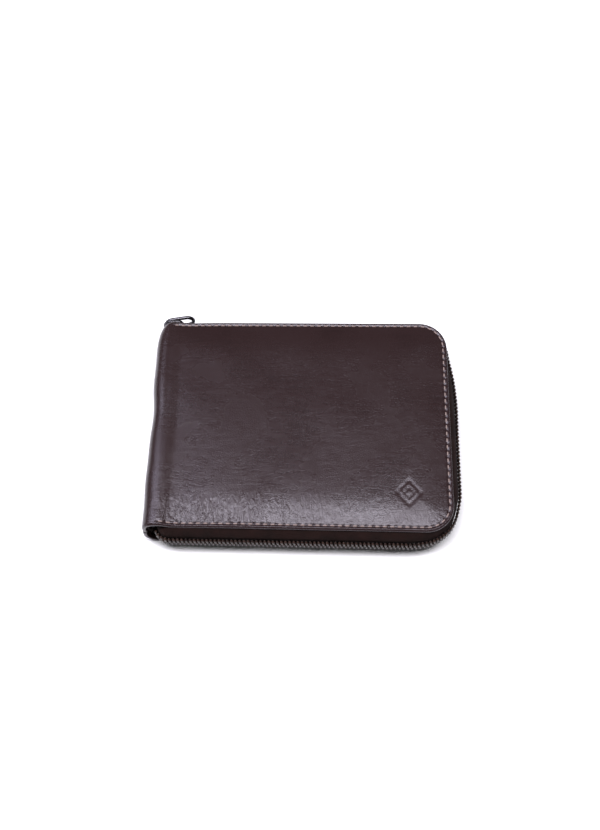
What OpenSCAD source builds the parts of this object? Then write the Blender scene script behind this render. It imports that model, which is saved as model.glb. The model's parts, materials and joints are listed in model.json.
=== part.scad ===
// Zip-around bifold wallet, lying closed on its back cover.
// Origin: the middle of the back cover's outer face. +X runs from the fold to the zip side, +Y to the
// back edge, where the zip closes, and +Z up through the closed wallet to the front cover.

/* [Covers] */
// Width of each cover, from the fold to the zip side
cover_w = 120; // [110:1:160]
// Depth of each cover, from its front edge to its back edge
cover_d = 90; // [86:1:120]
// Thickness of the closed wallet
wallet_t = 17; // [17:0.1:24]
// Radius of the covers' corners on the zip side
corner_r = 11; // [8:0.1:16]
// Outside radius of the spine's two folds
fold_r = 6; // [4:0.1:7.5]
// Thickness of the outer leather
leather_t = 1.3; // [1:0.01:1.6]
// Thickness of the padding under the leather
pad_t = 1; // [0.6:0.01:1.2]
// Margin of leather left without padding along the edges
pad_margin = 6; // [5.5:0.1:10]
// Thickness of the lining cloth
lining_t = 0.3; // [0.2:0.01:0.4]
// Room between the cut faces of the leather where a fold turns
fold_gap = 0.3; // [0.3:0.05:0.6]

/* [Stitching] */
// Length of one stitch and the gap after it
stitch_pitch = 2.8; // [2.2:0.1:4]
// Length of the thread that shows in one stitch
stitch_l = 2.1; // [1.4:0.1:2.2]
// Distance of the stitch line from the covers' edge
stitch_inset = 1.6; // [1:0.1:3]
// Width of the flattened thread
thread_w = 0.7; // [0.4:0.05:0.9]
// Depth of the groove that the thread lies in
groove_h = 0.5; // [0.3:0.05:0.7]

/* [Zip] */
// Distance from the covers' edge out to the tape
zip_out = 2; // [1.9:0.1:3]
// Thickness of the woven tape
tape_t = 0.6; // [0.4:0.05:0.7]
// Width of the tape's hem that is sewn under the leather
hem_w = 5; // [3:0.1:5.2]
// Width of the closed chain
chain_w = 6; // [5:0.1:6.2]
// Thickness of the coils
coil_t = 1.6; // [1.2:0.05:2.2]
// Distance from one tooth to the next
tooth_pitch = 1.6; // [1.4:0.05:2.4]
// Width of one tooth
tooth_w = 0.6; // [0.4:0.05:0.65]
// How far a tooth reaches past the middle of the chain
tooth_reach = 0.5; // [0.3:0.05:0.8]
// Half of the gap that the slider's post passes through
post_gap = 0.4; // [0.3:0.05:0.6]
// Outside radius of the curl that takes the chain's end into the fold
curl_r = 7; // [6.8:0.1:9]

/* [Slider and puller] */
// Length of the slider
slider_l = 8.8; // [7:0.1:11]
// Distance from the fold to the middle of the closed slider
slider_at = 6.3; // [6.2:0.01:16]
// Thickness of the slider's plates
plate_t = 1; // [0.8:0.05:1.2]
// Width of the slider's side flanges
flange_w = 1; // [0.7:0.05:1.2]
// Room between the slider and what runs through it
slider_clear = 0.25; // [0.2:0.01:0.3]
// Diameter of the puller's wire
wire_d = 1.7; // [1.2:0.1:2]
// Diameter of the puller's pin, which is drawn down from the wire
pin_d = 1.5; // [1:0.05:1.5]
// Overall width of the puller
puller_w = 7; // [5.6:0.1:9]
// Distance from the puller's pin to the middle of its round end
puller_l = 6.8; // [5.6:0.1:14]
// Radial room round the puller's pin
pin_clear = 0.08; // [0.03:0.01:0.1]

/* [Inside] */
// Thickness of the leather of the inner panels
panel_t = 0.8; // [0.6:0.01:1]
// Distance of the inner panels from the covers' edge
panel_inset = 2.5; // [2:0.1:5]
// Distance from the fold to the inner panels
hinge_room = 8; // [7.5:0.1:14]
// Thickness of the note divider
divider_t = 0.4; // [0.3:0.01:0.5]
// Room between loose layers
layer_gap = 0.25; // [0.2:0.01:0.4]
// Width of a card
card_w = 85.6; // [85:0.1:87]
// Leather at each side of a card
card_side = 5; // [4:0.1:7]
// Thickness of one card pocket, with its leather and its card space
pocket_t = 0.9; // [0.8:0.01:1]
// Height of the card space in one pocket
card_space = 0.35; // [0.3:0.01:0.5]
// Distance from the top of one card pocket to the next
card_step = 12; // [9:0.5:14]
// Height of the lowest card pocket
pocket_h = 42; // [36:0.5:46]
// Distance of the pockets from the panel's front edge
pocket_foot = 3; // [2:0.1:6]

/* [Coin pocket] */
// Height of the coin pocket
coin_h = 64; // [56:0.5:72]
// Distance of the coin zip from the top of the coin pocket
coin_zip_drop = 12; // [9:0.5:16]
// Width of the slot in the leather that shows the coin zip
coin_slot_w = 7; // [6.6:0.1:9]
// Width of the coin zip's closed chain
coin_chain_w = 4; // [3.6:0.1:4.2]
// Thickness of the coin zip's tape
coin_tape_t = 0.35; // [0.25:0.01:0.45]
// Thickness of the coin zip's coils
coin_coil_t = 1.1; // [0.9:0.05:1.2]
// Length of the coin zip's chain
coin_chain_l = 84; // [60:1:88]
// Length of the coin slider
coin_slider_l = 7; // [6:0.1:8]
// Thickness of the coin slider's plates
coin_plate_t = 0.6; // [0.5:0.05:0.7]
// Room between the coin slider and what runs through it
coin_clear = 0.15; // [0.12:0.01:0.2]
// Thickness of the coin pocket's cloth
bag_t = 0.2; // [0.15:0.01:0.3]
// Length of the coin slider's puller
coin_puller_l = 13; // [9:0.5:18]

/* [Hidden] */

$fn = 48;
tiny = 0.01;

// Plan
x_fold = -cover_w / 2;
x_edge = cover_w / 2;
y_edge = cover_d / 2;
x_corner = x_edge - corner_r;
y_corner = y_edge - corner_r;
x_flat = x_fold + fold_r;

// Layers of the back half, from the floor up
z_pad = leather_t;
z_lining = z_pad + pad_t;
z_divider = z_lining + lining_t + layer_gap;
z_panel = z_divider + divider_t + layer_gap;
z_inside = z_panel + panel_t;
z_mid = wallet_t / 2;

// Zip section, measured out from the covers' edge and up from the floor
n_coil = zip_out + tape_t;
n_chain = n_coil + coil_t;
z_chain = z_mid - chain_w / 2;
z_tape_top = z_mid - post_gap;
slider_half = chain_w / 2 + slider_clear + flange_w;
z_room = z_mid - slider_half - layer_gap - leather_t - tape_t * sqrt(2);
slope = min(45, atan2(z_room, zip_out - slider_clear));
tape_slant = tape_t / cos(slope);
z_wall_foot = leather_t + zip_out * tan(slope) + tape_slant;
rail_w = 1.7;
coil_root = chain_w / 2 - rail_w;

// Where the chain and its tapes end
curl_room = 0.6;
end_room = 0.5;
stop_room = 0.4;
stop_l = 1.2;
stop_foot = 0.6;
stop_drop = 0.2;
coil_in_slider = 2.4;
first_tooth_in = 2.8;
x_curl = x_fold + leather_t + lining_t + curl_room + curl_r;
y_curl = -y_edge - n_chain + curl_r;
x_slider = x_fold + max(slider_at, slider_l / 2 + stop_room + stop_l);
x_coil_end = x_slider + slider_l / 2 + end_room;
x_coil_start = x_slider - slider_l / 2 + coil_in_slider;
x_stop = x_slider - slider_l / 2 - stop_room;
x_tape_end = x_stop - stop_l;
x_first_tooth = x_curl + first_tooth_in;
bottom_stop_l = 3.2;
bottom_stop_w = 2.6;
bottom_stop_in = 0.4;
curl_notch = 5;

// Slider and puller
plate_round = 1.2;
post_w = 0.3;
post_l = 1;
wire_r = wire_d / 2;
puller_r = puller_w / 2 - wire_r;
pin_half = 0.64 * puller_r;
puller_gap = 0.3;
puller_heel = 0.7 * wire_r;
puller_lap = 0.2;
ring_more = 0.04;
bridge_w = 2 * (pin_half - wire_r) - puller_gap;
bridge_wall = 0.6;
bore_r = pin_d / 2 + pin_clear;
z_slider_top = tape_t + coil_t + slider_clear + plate_t;
z_pin = z_slider_top + wire_r + puller_gap;
pin_in = 2.1;
x_pin = pin_in - slider_l / 2;

// Inside
x_panel = x_fold + hinge_room;
x_pockets = (x_panel + x_edge - panel_inset) / 2;
pocket_w = card_w + 2 * card_side;
y_foot = -y_edge + panel_inset + pocket_foot;
card_room = 1;
card_seam = 2;
z_bag = z_inside;
z_coin_plate = z_bag + bag_t + coin_clear;
z_coin_tape = z_coin_plate + coin_plate_t + coin_clear;
z_coin_panel = z_coin_tape + coin_tape_t;
y_coin_zip = y_foot + coin_h - coin_zip_drop;
coin_wall = 1.2;
coin_tape_w = 5;
tape_room = 1;
coin_rail_w = coin_chain_w / 2 - post_gap - 0.7;
coin_flange = 0.6;
coin_slider_in = 2;
x_coin_slider = x_pockets - coin_chain_l / 2 + coin_slider_l / 2 + coin_slider_in;
z_coin_top = z_coin_panel + coin_coil_t + coin_clear + coin_plate_t;
coin_stop_l = 1.2;
coin_stop_w = 1.4;
coin_stop_h = 0.9;
coin_stop_gap = 0.3;
coin_stop_out = 1.2;

// Coin puller: a tab whose end bar turns in the bridge
tab_t = 0.5;
tab_w = 4;
tab_round = 1.6;
tab_eye_r = 1;
tab_eye_in = 3;
bar_w = 0.5;
coin_bore_r = 0.45;
coin_bridge_wall = 0.4;
coin_bridge_w = 1.2;
coin_bridge_r = coin_bore_r + coin_bridge_wall;
coin_pin_h = 0.85;

// Colours
leather_c = [0.26, 0.21, 0.2];
lining_c = [0.16, 0.13, 0.12];
thread_c = [0.62, 0.54, 0.47];
tape_c = [0.17, 0.11, 0.1];
coil_c = [0.12, 0.1, 0.1];
metal_c = [0.4, 0.39, 0.4];
board_c = [0.6, 0.55, 0.48];

// The same shape for the front half, turned over about the middle of the wallet's thickness.
module front_half() {
    translate([0, 0, wallet_t]) mirror([0, 0, 1]) children();
}

// Plan of a layer that starts at x_from and stays back from the edge by inset.
module cover_plan(x_from, inset) {
    r = max(corner_r - inset, 1);
    xr = x_edge - inset;
    yr = y_edge - inset;
    translate([x_from, -yr]) square([xr - r - x_from, 2 * yr]);
    translate([x_from, r - yr]) square([xr - x_from, 2 * (yr - r)]);
    for (s = [-1, 1]) translate([xr - r, s * (yr - r)]) circle(r);
}

module layer(z, t, x_from, inset) {
    translate([0, 0, z]) linear_extrude(t) cover_plan(x_from, inset);
}

// A section drawn as (distance out from the edge, height), carried along the straight back edge.
module along_back(x_from, x_to) {
    translate([x_from, y_edge, 0]) rotate([90, 0, 90]) linear_extrude(x_to - x_from) children();
}

module along_front(x_from, x_to) {
    mirror([0, 1, 0]) along_back(x_from, x_to) children();
}

module along_side() {
    translate([x_edge, y_corner, 0]) rotate([90, 0, 0]) linear_extrude(2 * y_corner) children();
}

// The same section carried round one of the two corners.
module round_corner(side) {
    translate([x_corner, side * y_corner, 0]) rotate([0, 0, side > 0 ? 0 : -90])
        rotate_extrude(angle = 90) translate([corner_r, 0]) children();
}

module along_three_sides(x_back, x_front) {
    along_back(x_back, x_corner) children();
    round_corner(1) children();
    along_side() children();
    round_corner(-1) children();
    along_front(x_front, x_corner) children();
}

// ---- Outer leather ----

module groove_section() {
    translate([-stitch_inset - (thread_w + 0.1) / 2, -1]) square([thread_w + 0.1, 1 + groove_h]);
}

// Section of the half of a fold that stays with the cover. It is an eighth of a ring round the origin,
// cut back from the diagonal by half of the fold's gap.
module fold_eighth() {
    s = fold_gap / 2 / sqrt(2);
    far = 2 * fold_r;
    intersection() {
        difference() {
            circle(fold_r);
            circle(fold_r - leather_t);
        }
        polygon([[s, -s], [s - far, -s - far], [0, -far], [0, -s]]);
    }
}

module cover_leather() {
    color(leather_c) difference() {
        union() {
            layer(0, leather_t, x_flat - tiny, 0);
            rotate([90, 0, 0]) linear_extrude(cover_d, center = true)
                translate([x_flat, fold_r]) fold_eighth();
        }
        along_three_sides(x_flat, x_flat) groove_section();
    }
}

module back_cover_leather() {
    cover_leather();
}

module front_cover_leather() {
    front_half() cover_leather();
}

module spine_leather() {
    color(leather_c) rotate([90, 0, 0]) linear_extrude(cover_d, center = true) {
        translate([x_flat, fold_r]) mirror([1, -1]) fold_eighth();
        translate([x_flat, wallet_t - fold_r]) mirror([0, 1]) mirror([1, -1]) fold_eighth();
        translate([x_fold, fold_r - tiny]) square([leather_t, wallet_t - 2 * fold_r + 2 * tiny]);
    }
}

// ---- Padding, lining and note divider ----

module back_padding() {
    color(board_c) layer(z_pad, pad_t, x_flat + 1, pad_margin);
}

module front_padding() {
    front_half() back_padding();
}

module back_lining() {
    color(lining_c) layer(z_lining, lining_t, x_flat, panel_inset);
}

module front_lining() {
    front_half() back_lining();
}

module spine_sheet(x, t) {
    translate([x_fold + x, panel_inset - y_edge, fold_r])
        cube([t, cover_d - 2 * panel_inset, wallet_t - 2 * fold_r]);
}

module spine_lining() {
    color(lining_c) spine_sheet(leather_t, lining_t);
}

module back_note_divider() {
    color(lining_c) layer(z_divider, divider_t, x_flat + 1, panel_inset + 0.5);
}

module front_note_divider() {
    front_half() back_note_divider();
}

module spine_note_divider() {
    color(lining_c) difference() {
        spine_sheet(leather_t + lining_t + layer_gap, divider_t);
        translate([x_fold, -y_edge, 0]) cube([fold_r, y_curl + y_edge + curl_notch, wallet_t]);
    }
}

// ---- Stitching ----

module stitch() {
    translate([0, 0, groove_h / 2]) cube([stitch_l, thread_w, groove_h], center = true);
}

module stitch_row(l) {
    n = floor(l / stitch_pitch);
    for (i = [0 : n - 1]) translate([(i + 0.5) * l / n, 0, 0]) stitch();
}

module stitch_line() {
    y = y_edge - stitch_inset;
    r = corner_r - stitch_inset;
    n = round(PI / 2 * r / stitch_pitch);
    run = x_corner - x_flat;
    for (s = [-1, 1]) {
        translate([x_flat, s * y, 0]) stitch_row(run);
        translate([x_corner, s * y_corner, 0])
            for (i = [0 : n - 1]) rotate([0, 0, s * (i + 0.5) * 90 / n])
                translate([r, 0, 0]) rotate([0, 0, 90]) stitch();
    }
    translate([x_edge - stitch_inset, -y_corner, 0]) rotate([0, 0, 90]) stitch_row(2 * y_corner);
}

module back_stitching() {
    color(thread_c) stitch_line();
}

module front_stitching() {
    color(thread_c) front_half() stitch_line();
}

// ---- Zip tapes and coils ----

// Hem under the leather, slope out past the edge, and the upright wall that carries the coil.
module tape_section() {
    polygon([
        [-hem_w, leather_t],
        [0, leather_t],
        [n_coil, leather_t + n_coil * tan(slope)],
        [n_coil, z_tape_top],
        [zip_out, z_tape_top],
        [zip_out, z_wall_foot],
        [(tape_t - tape_slant) / tan(slope), leather_t + tape_t],
        [-hem_w, leather_t + tape_t]
    ]);
}

// A section on the curl's radius, carried through the quarter turn into the fold.
module round_curl() {
    translate([x_curl, y_curl, 0]) rotate([0, 0, 180])
        rotate_extrude(angle = 90) translate([curl_r - n_chain, 0]) children();
}

// The upright wall by itself, which is all that goes on past the flat of the cover.
module tape_wall_section() {
    translate([zip_out, z_wall_foot]) square([tape_t, z_tape_top - z_wall_foot]);
}

module zip_tape() {
    color(tape_c) {
        along_three_sides(x_flat, x_curl) tape_section();
        along_back(x_tape_end, x_flat + tiny) tape_wall_section();
        round_curl() tape_wall_section();
    }
}

module back_zip_tape() {
    zip_tape();
}

module front_zip_tape() {
    front_half() zip_tape();
}

// Outline of one coil along a straight run: a rail with teeth that stop at the height tip.
function comb(l, phase, tip) = let (n = floor((l - tooth_pitch) / tooth_pitch)) concat(
    [[0, -chain_w / 2], [0, -coil_root]],
    [for (i = [0 : n - 1], k = [0 : 3])
        let (x = (i + 0.5 + phase) * tooth_pitch)
        [x + (k < 2 ? -tooth_w / 2 : tooth_w / 2), (k == 1 || k == 2) ? tip : -coil_root]],
    [[l, -coil_root], [l, -chain_w / 2]]
);

module coil_section() {
    translate([n_coil, z_chain]) square([coil_t, chain_w / 2 - post_gap]);
}

// The chain half of the back cover; the front cover's has its teeth half a pitch further along.
module zip_coil(x_back, phase) {
    run = x_corner - x_first_tooth;
    color(coil_c) {
        translate([x_back, y_edge + n_chain, z_mid]) rotate([90, 0, 0])
            linear_extrude(coil_t) polygon(comb(x_corner - x_back, phase, -post_gap));
        translate([x_edge + n_coil, -y_corner, z_mid]) rotate([90, 0, 90])
            linear_extrude(coil_t) polygon(comb(2 * y_corner, phase, tooth_reach));
        translate([x_first_tooth, -y_edge - n_coil, z_mid]) rotate([90, 0, 0])
            linear_extrude(coil_t) polygon(comb(run, phase, tooth_reach));
        for (s = [-1, 1]) round_corner(s) coil_section();
        along_front(x_curl, x_first_tooth) coil_section();
        round_curl() coil_section();
    }
}

module back_zip_coil() {
    zip_coil(x_coil_start, 0);
}

module front_zip_coil() {
    front_half() zip_coil(x_coil_end, 0.5);
}

// ---- Stops ----

module top_stop() {
    color(metal_c) translate([x_stop - stop_l, y_edge + n_coil, z_chain + stop_foot])
        cube([stop_l, coil_t - stop_drop, z_tape_top - z_chain - stop_foot]);
}

module back_top_stop() {
    top_stop();
}

module front_top_stop() {
    front_half() top_stop();
}

module zip_bottom_stop() {
    color(metal_c) translate([x_fold + leather_t + lining_t, y_curl + bottom_stop_in, z_chain])
        cube([bottom_stop_l, bottom_stop_w, chain_w]);
}

// ---- Slider ----

module rounded_plate(l, w, r) {
    square([l - 2 * r, w], center = true);
    square([l, w - 2 * r], center = true);
    for (sx = [-1, 1], sy = [-1, 1]) translate([sx * (l / 2 - r), sy * (w / 2 - r)]) circle(r);
}

// Two plates joined by a post at the leading end, with flanges that hold the coils in.
// X is the travel, Y crosses the chain, and Z is 0 at the underside of the tape.
module slider_shell(l, chain, tape, coil, clear, plate, flange) {
    w = chain + 2 * (clear + flange);
    z_top = tape + coil + clear;
    translate([0, 0, -clear - plate]) linear_extrude(plate) rounded_plate(l, w, plate_round);
    translate([0, 0, z_top]) linear_extrude(plate) rounded_plate(l, w, plate_round);
    translate([0, 0, tape + clear]) linear_extrude(z_top - tape - clear + tiny) difference() {
        rounded_plate(l, w, plate_round);
        square([l + 1, chain + 2 * clear], center = true);
    }
    translate([-l / 2 + post_l, -post_w / 2, -clear - tiny])
        cube([post_l, post_w, z_top + clear + 2 * tiny]);
}

// Bridge block with the bore that the puller's pin turns in. Z is 0 at the top of the slider.
module bridge(w, pin_r, pin_z, wall) {
    r = pin_r + wall;
    rotate([90, 0, 0]) linear_extrude(w, center = true) difference() {
        union() {
            intersection() {
                translate([0, pin_z]) circle(r);
                translate([-r, pin_z]) square([2 * r, r]);
            }
            translate([-r, 0]) square([2 * r, pin_z]);
        }
        translate([0, pin_z]) circle(pin_r);
    }
}

module at_slider() {
    translate([x_slider, y_edge + zip_out, z_mid]) rotate([-90, 0, 0]) children();
}

module zip_slider_body() {
    color(metal_c) at_slider()
        slider_shell(slider_l, chain_w, tape_t, coil_t, slider_clear, plate_t, flange_w);
}

module zip_slider_bridge() {
    color(metal_c) at_slider() translate([x_pin, 0, z_slider_top])
        bridge(bridge_w, bore_r, z_pin - z_slider_top, bridge_wall);
}

// Teardrop loop of round wire: a pin, two arms that spread by an angle until they meet the round end
// along its tangent, and the round end itself.
module zip_puller() {
    spread = asin(puller_r / norm([puller_l, pin_half])) - atan2(pin_half, puller_l);
    arm_l = (puller_l - puller_r * sin(spread)) / cos(spread);
    color(metal_c) at_slider() translate([x_pin, 0, z_pin]) {
        rotate([90, 0, 0]) cylinder(h = 2 * pin_half, r = pin_d / 2, center = true);
        for (s = [-1, 1]) translate([0, s * pin_half, 0]) rotate([0, 90, s * spread])
            translate([0, 0, -puller_heel]) cylinder(h = arm_l + puller_heel + puller_lap, r = wire_r);
        translate([puller_l, 0, 0]) rotate([0, 0, -90 - spread])
            rotate_extrude(angle = 180 + 2 * spread) translate([puller_r, 0]) circle(wire_r + ring_more);
    }
}

// ---- Inner panels and card pockets ----

module back_inner_panel() {
    color(leather_c) layer(z_panel, panel_t, x_panel, panel_inset);
}

module front_inner_panel() {
    front_half() back_inner_panel();
}

// One card pocket: leather over a space for a card, closed at its sides and foot and open at the top.
module card_pocket(i) {
    h = pocket_h + (3 - i) * card_step;
    z = z_inside + (i - 1) * pocket_t;
    color(leather_c) front_half() difference() {
        translate([x_pockets - pocket_w / 2, y_foot, z]) cube([pocket_w, h, pocket_t]);
        translate([x_pockets - card_w / 2 - card_room, y_foot + card_seam, z - tiny])
            cube([card_w + 2 * card_room, h, tiny + card_space]);
    }
}

module card_pocket_1() {
    card_pocket(1);
}

module card_pocket_2() {
    card_pocket(2);
}

module card_pocket_3() {
    card_pocket(3);
}

// ---- Coin pocket ----

module coin_pocket_bag() {
    color(lining_c) difference() {
        translate([x_pockets - pocket_w / 2, y_foot, z_bag]) cube([pocket_w, coin_h, z_coin_panel - z_bag]);
        translate([x_pockets - pocket_w / 2 + coin_wall, y_foot + coin_wall, z_bag + bag_t])
            cube([pocket_w - 2 * coin_wall, coin_h - 2 * coin_wall, z_coin_panel]);
    }
}

module coin_panel(y_from, y_to) {
    color(leather_c) translate([x_pockets - pocket_w / 2, y_from, z_coin_panel])
        cube([pocket_w, y_to - y_from, panel_t]);
}

module coin_panel_upper() {
    coin_panel(y_coin_zip + coin_slot_w / 2, y_foot + coin_h);
}

module coin_panel_lower() {
    coin_panel(y_foot, y_coin_zip - coin_slot_w / 2);
}

module coin_zip_tape() {
    l = pocket_w - 2 * coin_wall - tape_room;
    color(tape_c) for (s = [0, 1]) translate([x_pockets, y_coin_zip, z_coin_tape]) mirror([0, s, 0])
        translate([-l / 2, post_gap, 0]) cube([l, coin_tape_w, coin_tape_t]);
}

module coin_zip_coil() {
    n = floor(coin_chain_l / tooth_pitch);
    outline = concat(
        [[0, coin_chain_w / 2], [0, coin_chain_w / 2 - coin_rail_w]],
        [for (i = [0 : n - 2], k = [0 : 3])
            let (x = (i + 0.75) * tooth_pitch)
            [x + (k < 2 ? -tooth_w / 2 : tooth_w / 2),
                (k == 1 || k == 2) ? post_gap : coin_chain_w / 2 - coin_rail_w]],
        [[coin_chain_l, coin_chain_w / 2 - coin_rail_w], [coin_chain_l, coin_chain_w / 2]]
    );
    color(coil_c) for (s = [0, 1])
        translate([x_pockets - coin_chain_l / 2, y_coin_zip, z_coin_panel]) mirror([0, s, 0])
            linear_extrude(coin_coil_t) polygon(outline);
}

module coin_zip_stops() {
    color(metal_c) for (sx = [-1, 1], sy = [-1, 1])
        translate([
            x_pockets + sx * (coin_chain_l / 2 + coin_stop_gap + coin_stop_l / 2),
            y_coin_zip + sy * coin_stop_out,
            z_coin_panel + coin_stop_h / 2
        ]) cube([coin_stop_l, coin_stop_w, coin_stop_h], center = true);
}

module at_coin_slider(z) {
    translate([x_coin_slider, y_coin_zip, z]) children();
}

module coin_slider_body() {
    color(metal_c) at_coin_slider(z_coin_tape) slider_shell(
        coin_slider_l, coin_chain_w, coin_tape_t, coin_coil_t, coin_clear, coin_plate_t, coin_flange);
}

module coin_slider_bridge() {
    color(metal_c) at_coin_slider(z_coin_top)
        bridge(coin_bridge_w, coin_bore_r, coin_pin_h, coin_bridge_wall);
}

// Flat tab that lies along the zip. Its end bar passes through the bridge, which stands in its window.
module coin_puller() {
    window_l = coin_bridge_r + coin_clear - bar_w / 2;
    window_w = coin_bridge_w + 2 * coin_clear;
    color(metal_c) at_coin_slider(z_coin_top + coin_pin_h - tab_t / 2) linear_extrude(tab_t) difference() {
        translate([(coin_puller_l - bar_w) / 2, 0]) rounded_plate(coin_puller_l, tab_w, tab_round);
        translate([bar_w / 2, -window_w / 2]) square([window_l, window_w]);
        translate([coin_puller_l - tab_eye_in, 0]) circle(tab_eye_r);
    }
}

back_cover_leather();
spine_leather();
front_cover_leather();
back_padding();
front_padding();
back_lining();
spine_lining();
front_lining();
back_stitching();
front_stitching();
back_zip_tape();
front_zip_tape();
back_zip_coil();
front_zip_coil();
back_top_stop();
front_top_stop();
zip_bottom_stop();
zip_slider_body();
zip_slider_bridge();
zip_puller();
back_note_divider();
spine_note_divider();
front_note_divider();
back_inner_panel();
front_inner_panel();
card_pocket_1();
card_pocket_2();
card_pocket_3();
coin_pocket_bag();
coin_panel_upper();
coin_panel_lower();
coin_zip_tape();
coin_zip_coil();
coin_zip_stops();
coin_slider_body();
coin_slider_bridge();
coin_puller();
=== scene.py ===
"""Zip-around bifold wallet of dark brown leather: the visual model round the fixed frame.

Lengths inside the formulas are in millimetres; mesh points are turned to metres when a mesh is made.
Widths and heights of bumps that belong to one formula stand in that formula.
Plan: +X runs from the fold to the zip side, +Y to the back edge, +Z up through the closed wallet.
"""
import json
import math

import bmesh
import bpy
import numpy as np
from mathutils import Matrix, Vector


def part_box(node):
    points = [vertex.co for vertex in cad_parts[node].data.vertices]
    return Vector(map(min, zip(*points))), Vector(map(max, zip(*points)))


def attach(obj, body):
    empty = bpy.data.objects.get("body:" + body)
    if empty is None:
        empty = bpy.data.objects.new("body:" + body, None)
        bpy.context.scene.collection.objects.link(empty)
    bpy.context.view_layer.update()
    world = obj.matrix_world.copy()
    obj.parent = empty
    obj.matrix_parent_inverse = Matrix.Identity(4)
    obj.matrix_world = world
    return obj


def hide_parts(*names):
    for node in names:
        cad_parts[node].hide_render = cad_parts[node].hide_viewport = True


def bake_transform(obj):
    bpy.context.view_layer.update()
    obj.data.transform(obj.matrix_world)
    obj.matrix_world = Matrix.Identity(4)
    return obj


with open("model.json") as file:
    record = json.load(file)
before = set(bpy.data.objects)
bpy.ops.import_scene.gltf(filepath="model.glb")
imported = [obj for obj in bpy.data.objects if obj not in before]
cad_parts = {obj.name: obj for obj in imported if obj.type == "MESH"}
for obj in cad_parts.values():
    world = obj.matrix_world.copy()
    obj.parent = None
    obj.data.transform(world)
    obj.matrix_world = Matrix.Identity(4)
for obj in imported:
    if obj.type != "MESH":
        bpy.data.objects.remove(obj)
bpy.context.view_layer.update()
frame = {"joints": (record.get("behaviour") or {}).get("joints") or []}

bl_info = {
    "name": "Zip-around wallet",
    "version": (1, 0, 0),
    "blender": (4, 5, 0),
    "location": "3D View > Sidebar > Wallet",
    "description": "Makes the leather, zip, threads and inside of a zip-around bifold wallet",
    "category": "Object",
}

MM = 0.001


def box_mm(node):
    """Lowest and highest corner of a CAD node, in millimetres."""
    low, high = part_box(node)
    return np.array(low) / MM, np.array(high) / MM


def joint_mm(name):
    """Where a joint stands, in millimetres."""
    return np.array(next(j["pos_m"] for j in frame["joints"] if j["name"] == name)) / MM


# ---- Sizes, in millimetres ----

QUARTER = math.pi / 2
WELD, FINE_WELD = 0.004, 0.0001  # points nearer than this are joined
TOP_HIGH = box_mm("front_cover_leather")[1]
T = TOP_HIGH[2]  # thickness of the closed wallet
Z_MID = T / 2
X_FOLD = box_mm("spine_leather")[0][0]
X_EDGE, Y_EDGE = TOP_HIGH[0], TOP_HIGH[1]
FOLD_R = (joint_mm("spine_fold")[0] - X_FOLD) / (1 - math.pi / 4)  # the folds' outer radius
X_FLAT = X_FOLD + FOLD_R  # where the covers' flat starts
STRAIGHT = Z_MID - FOLD_R  # half of the spine's straight
ARC = math.pi / 2 * FOLD_R
S_FLAT = STRAIGHT + ARC  # X_FLAT as a length along the profile
CORNER_R = 11.0  # corners of the covers
X_CORNER = X_EDGE - CORNER_R
Y_CORNER = Y_EDGE - CORNER_R
LEATHER_T = box_mm("back_padding")[0][2]
GROWTH = 0.02  # share by which the worn wallet is deeper at its zip side
STITCH_SHARE = 0.7  # share of a stitch's pitch that its thread spans

N_CHAIN = box_mm("back_zip_coil")[1][0] - X_EDGE  # how far the chain stands out past the covers
N_TAPE_OUT = box_mm("back_zip_tape")[1][0] - X_EDGE  # how far the tape does
TAPE_T = 0.6
HEM_IN = 5.0  # how far the tape reaches in under the hide
CURL_R = 7.0  # the zip's turn into the fold
TUCK = 2.3  # how far the zip is tucked in along the back edge
ZIP_START = X_FOLD + 3.2
COIL_STEPS = 9  # points along each turn of a coil
PIN = joint_mm("puller_swing")
ZIP_AXES = ((1, 0, 0), (0, 0, -1), (0, 1, 0))  # along the zip, across the chain, away from the tape


# ---- Properties ----

def millimetres(name, description, default):
    """A length property, given and kept in metres."""
    return bpy.props.FloatProperty(
        name=name, description=description, default=default * MM, min=0, unit="LENGTH", precision=5)


def colour(name, description, default):
    """A colour property given as an sRGB hex value."""
    return bpy.props.StringProperty(name=name, description=description, default=default)


class WalletLeather(bpy.types.PropertyGroup):
    """Sizes and colours of the outer leather and its stitches."""

    crown: millimetres("Crown", "Height of the padded panel above its stitched edge", 1.35)
    groove: millimetres("Groove", "Depth that the stitches pull the leather down", 0.3)
    stitch_inset: millimetres("Stitch inset", "Distance of the stitches from the edge", 1.45)
    sink: millimetres("Sink", "How far the stitched edges sink below the full thickness", 1.0)
    stamp: millimetres("Stamp", "Depth of the stamped lozenge", 0.24)
    stitch_pitch: millimetres("Stitch pitch", "Length of a stitch and the gap after it", 2.8)
    thread: millimetres("Thread", "Diameter of the thread", 0.5)
    hide: colour("Hide", "Colour of the dyed hide", "#251818")
    hide_dark: colour("Hide shade", "Colour in the grain and folds", "#190f0f")
    thread_colour: colour("Thread colour", "Colour of the thread", "#93817c")


class WalletZip(bpy.types.PropertyGroup):
    """Sizes and colours of the zip."""

    tooth_pitch: millimetres("Tooth pitch", "Distance from one turn of the coil to the next", 1.6)
    chain: millimetres("Chain", "Width of the closed chain", 6.0)
    wire: millimetres("Wire", "Diameter of the puller's wire", 1.6)
    puller_tilt: bpy.props.FloatProperty(
        name="Puller tilt", description="How far the puller hangs out, in degrees", default=6.0)
    # Painted shade: the tape colour is darker than the tape itself, standing in for the shade under the
    # hide's overhang.
    tape_colour_with_painted_shade: colour("Tape colour", "Colour of the woven tape", "#100806")
    coil_colour: colour("Coil colour", "Colour of the nylon coil", "#1e1311")
    metal_colour: colour("Metal colour", "Colour of the gunmetal plating", "#454346")


class WalletInside(bpy.types.PropertyGroup):
    """Colours of what is inside."""

    panel_colour: colour("Panel colour", "Colour of the inner leather", "#33241f")
    lining_colour: colour("Lining colour", "Colour of the lining cloth", "#231b1a")
    board_colour: colour("Board colour", "Colour of the bonded board", "#8d8172")


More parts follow.
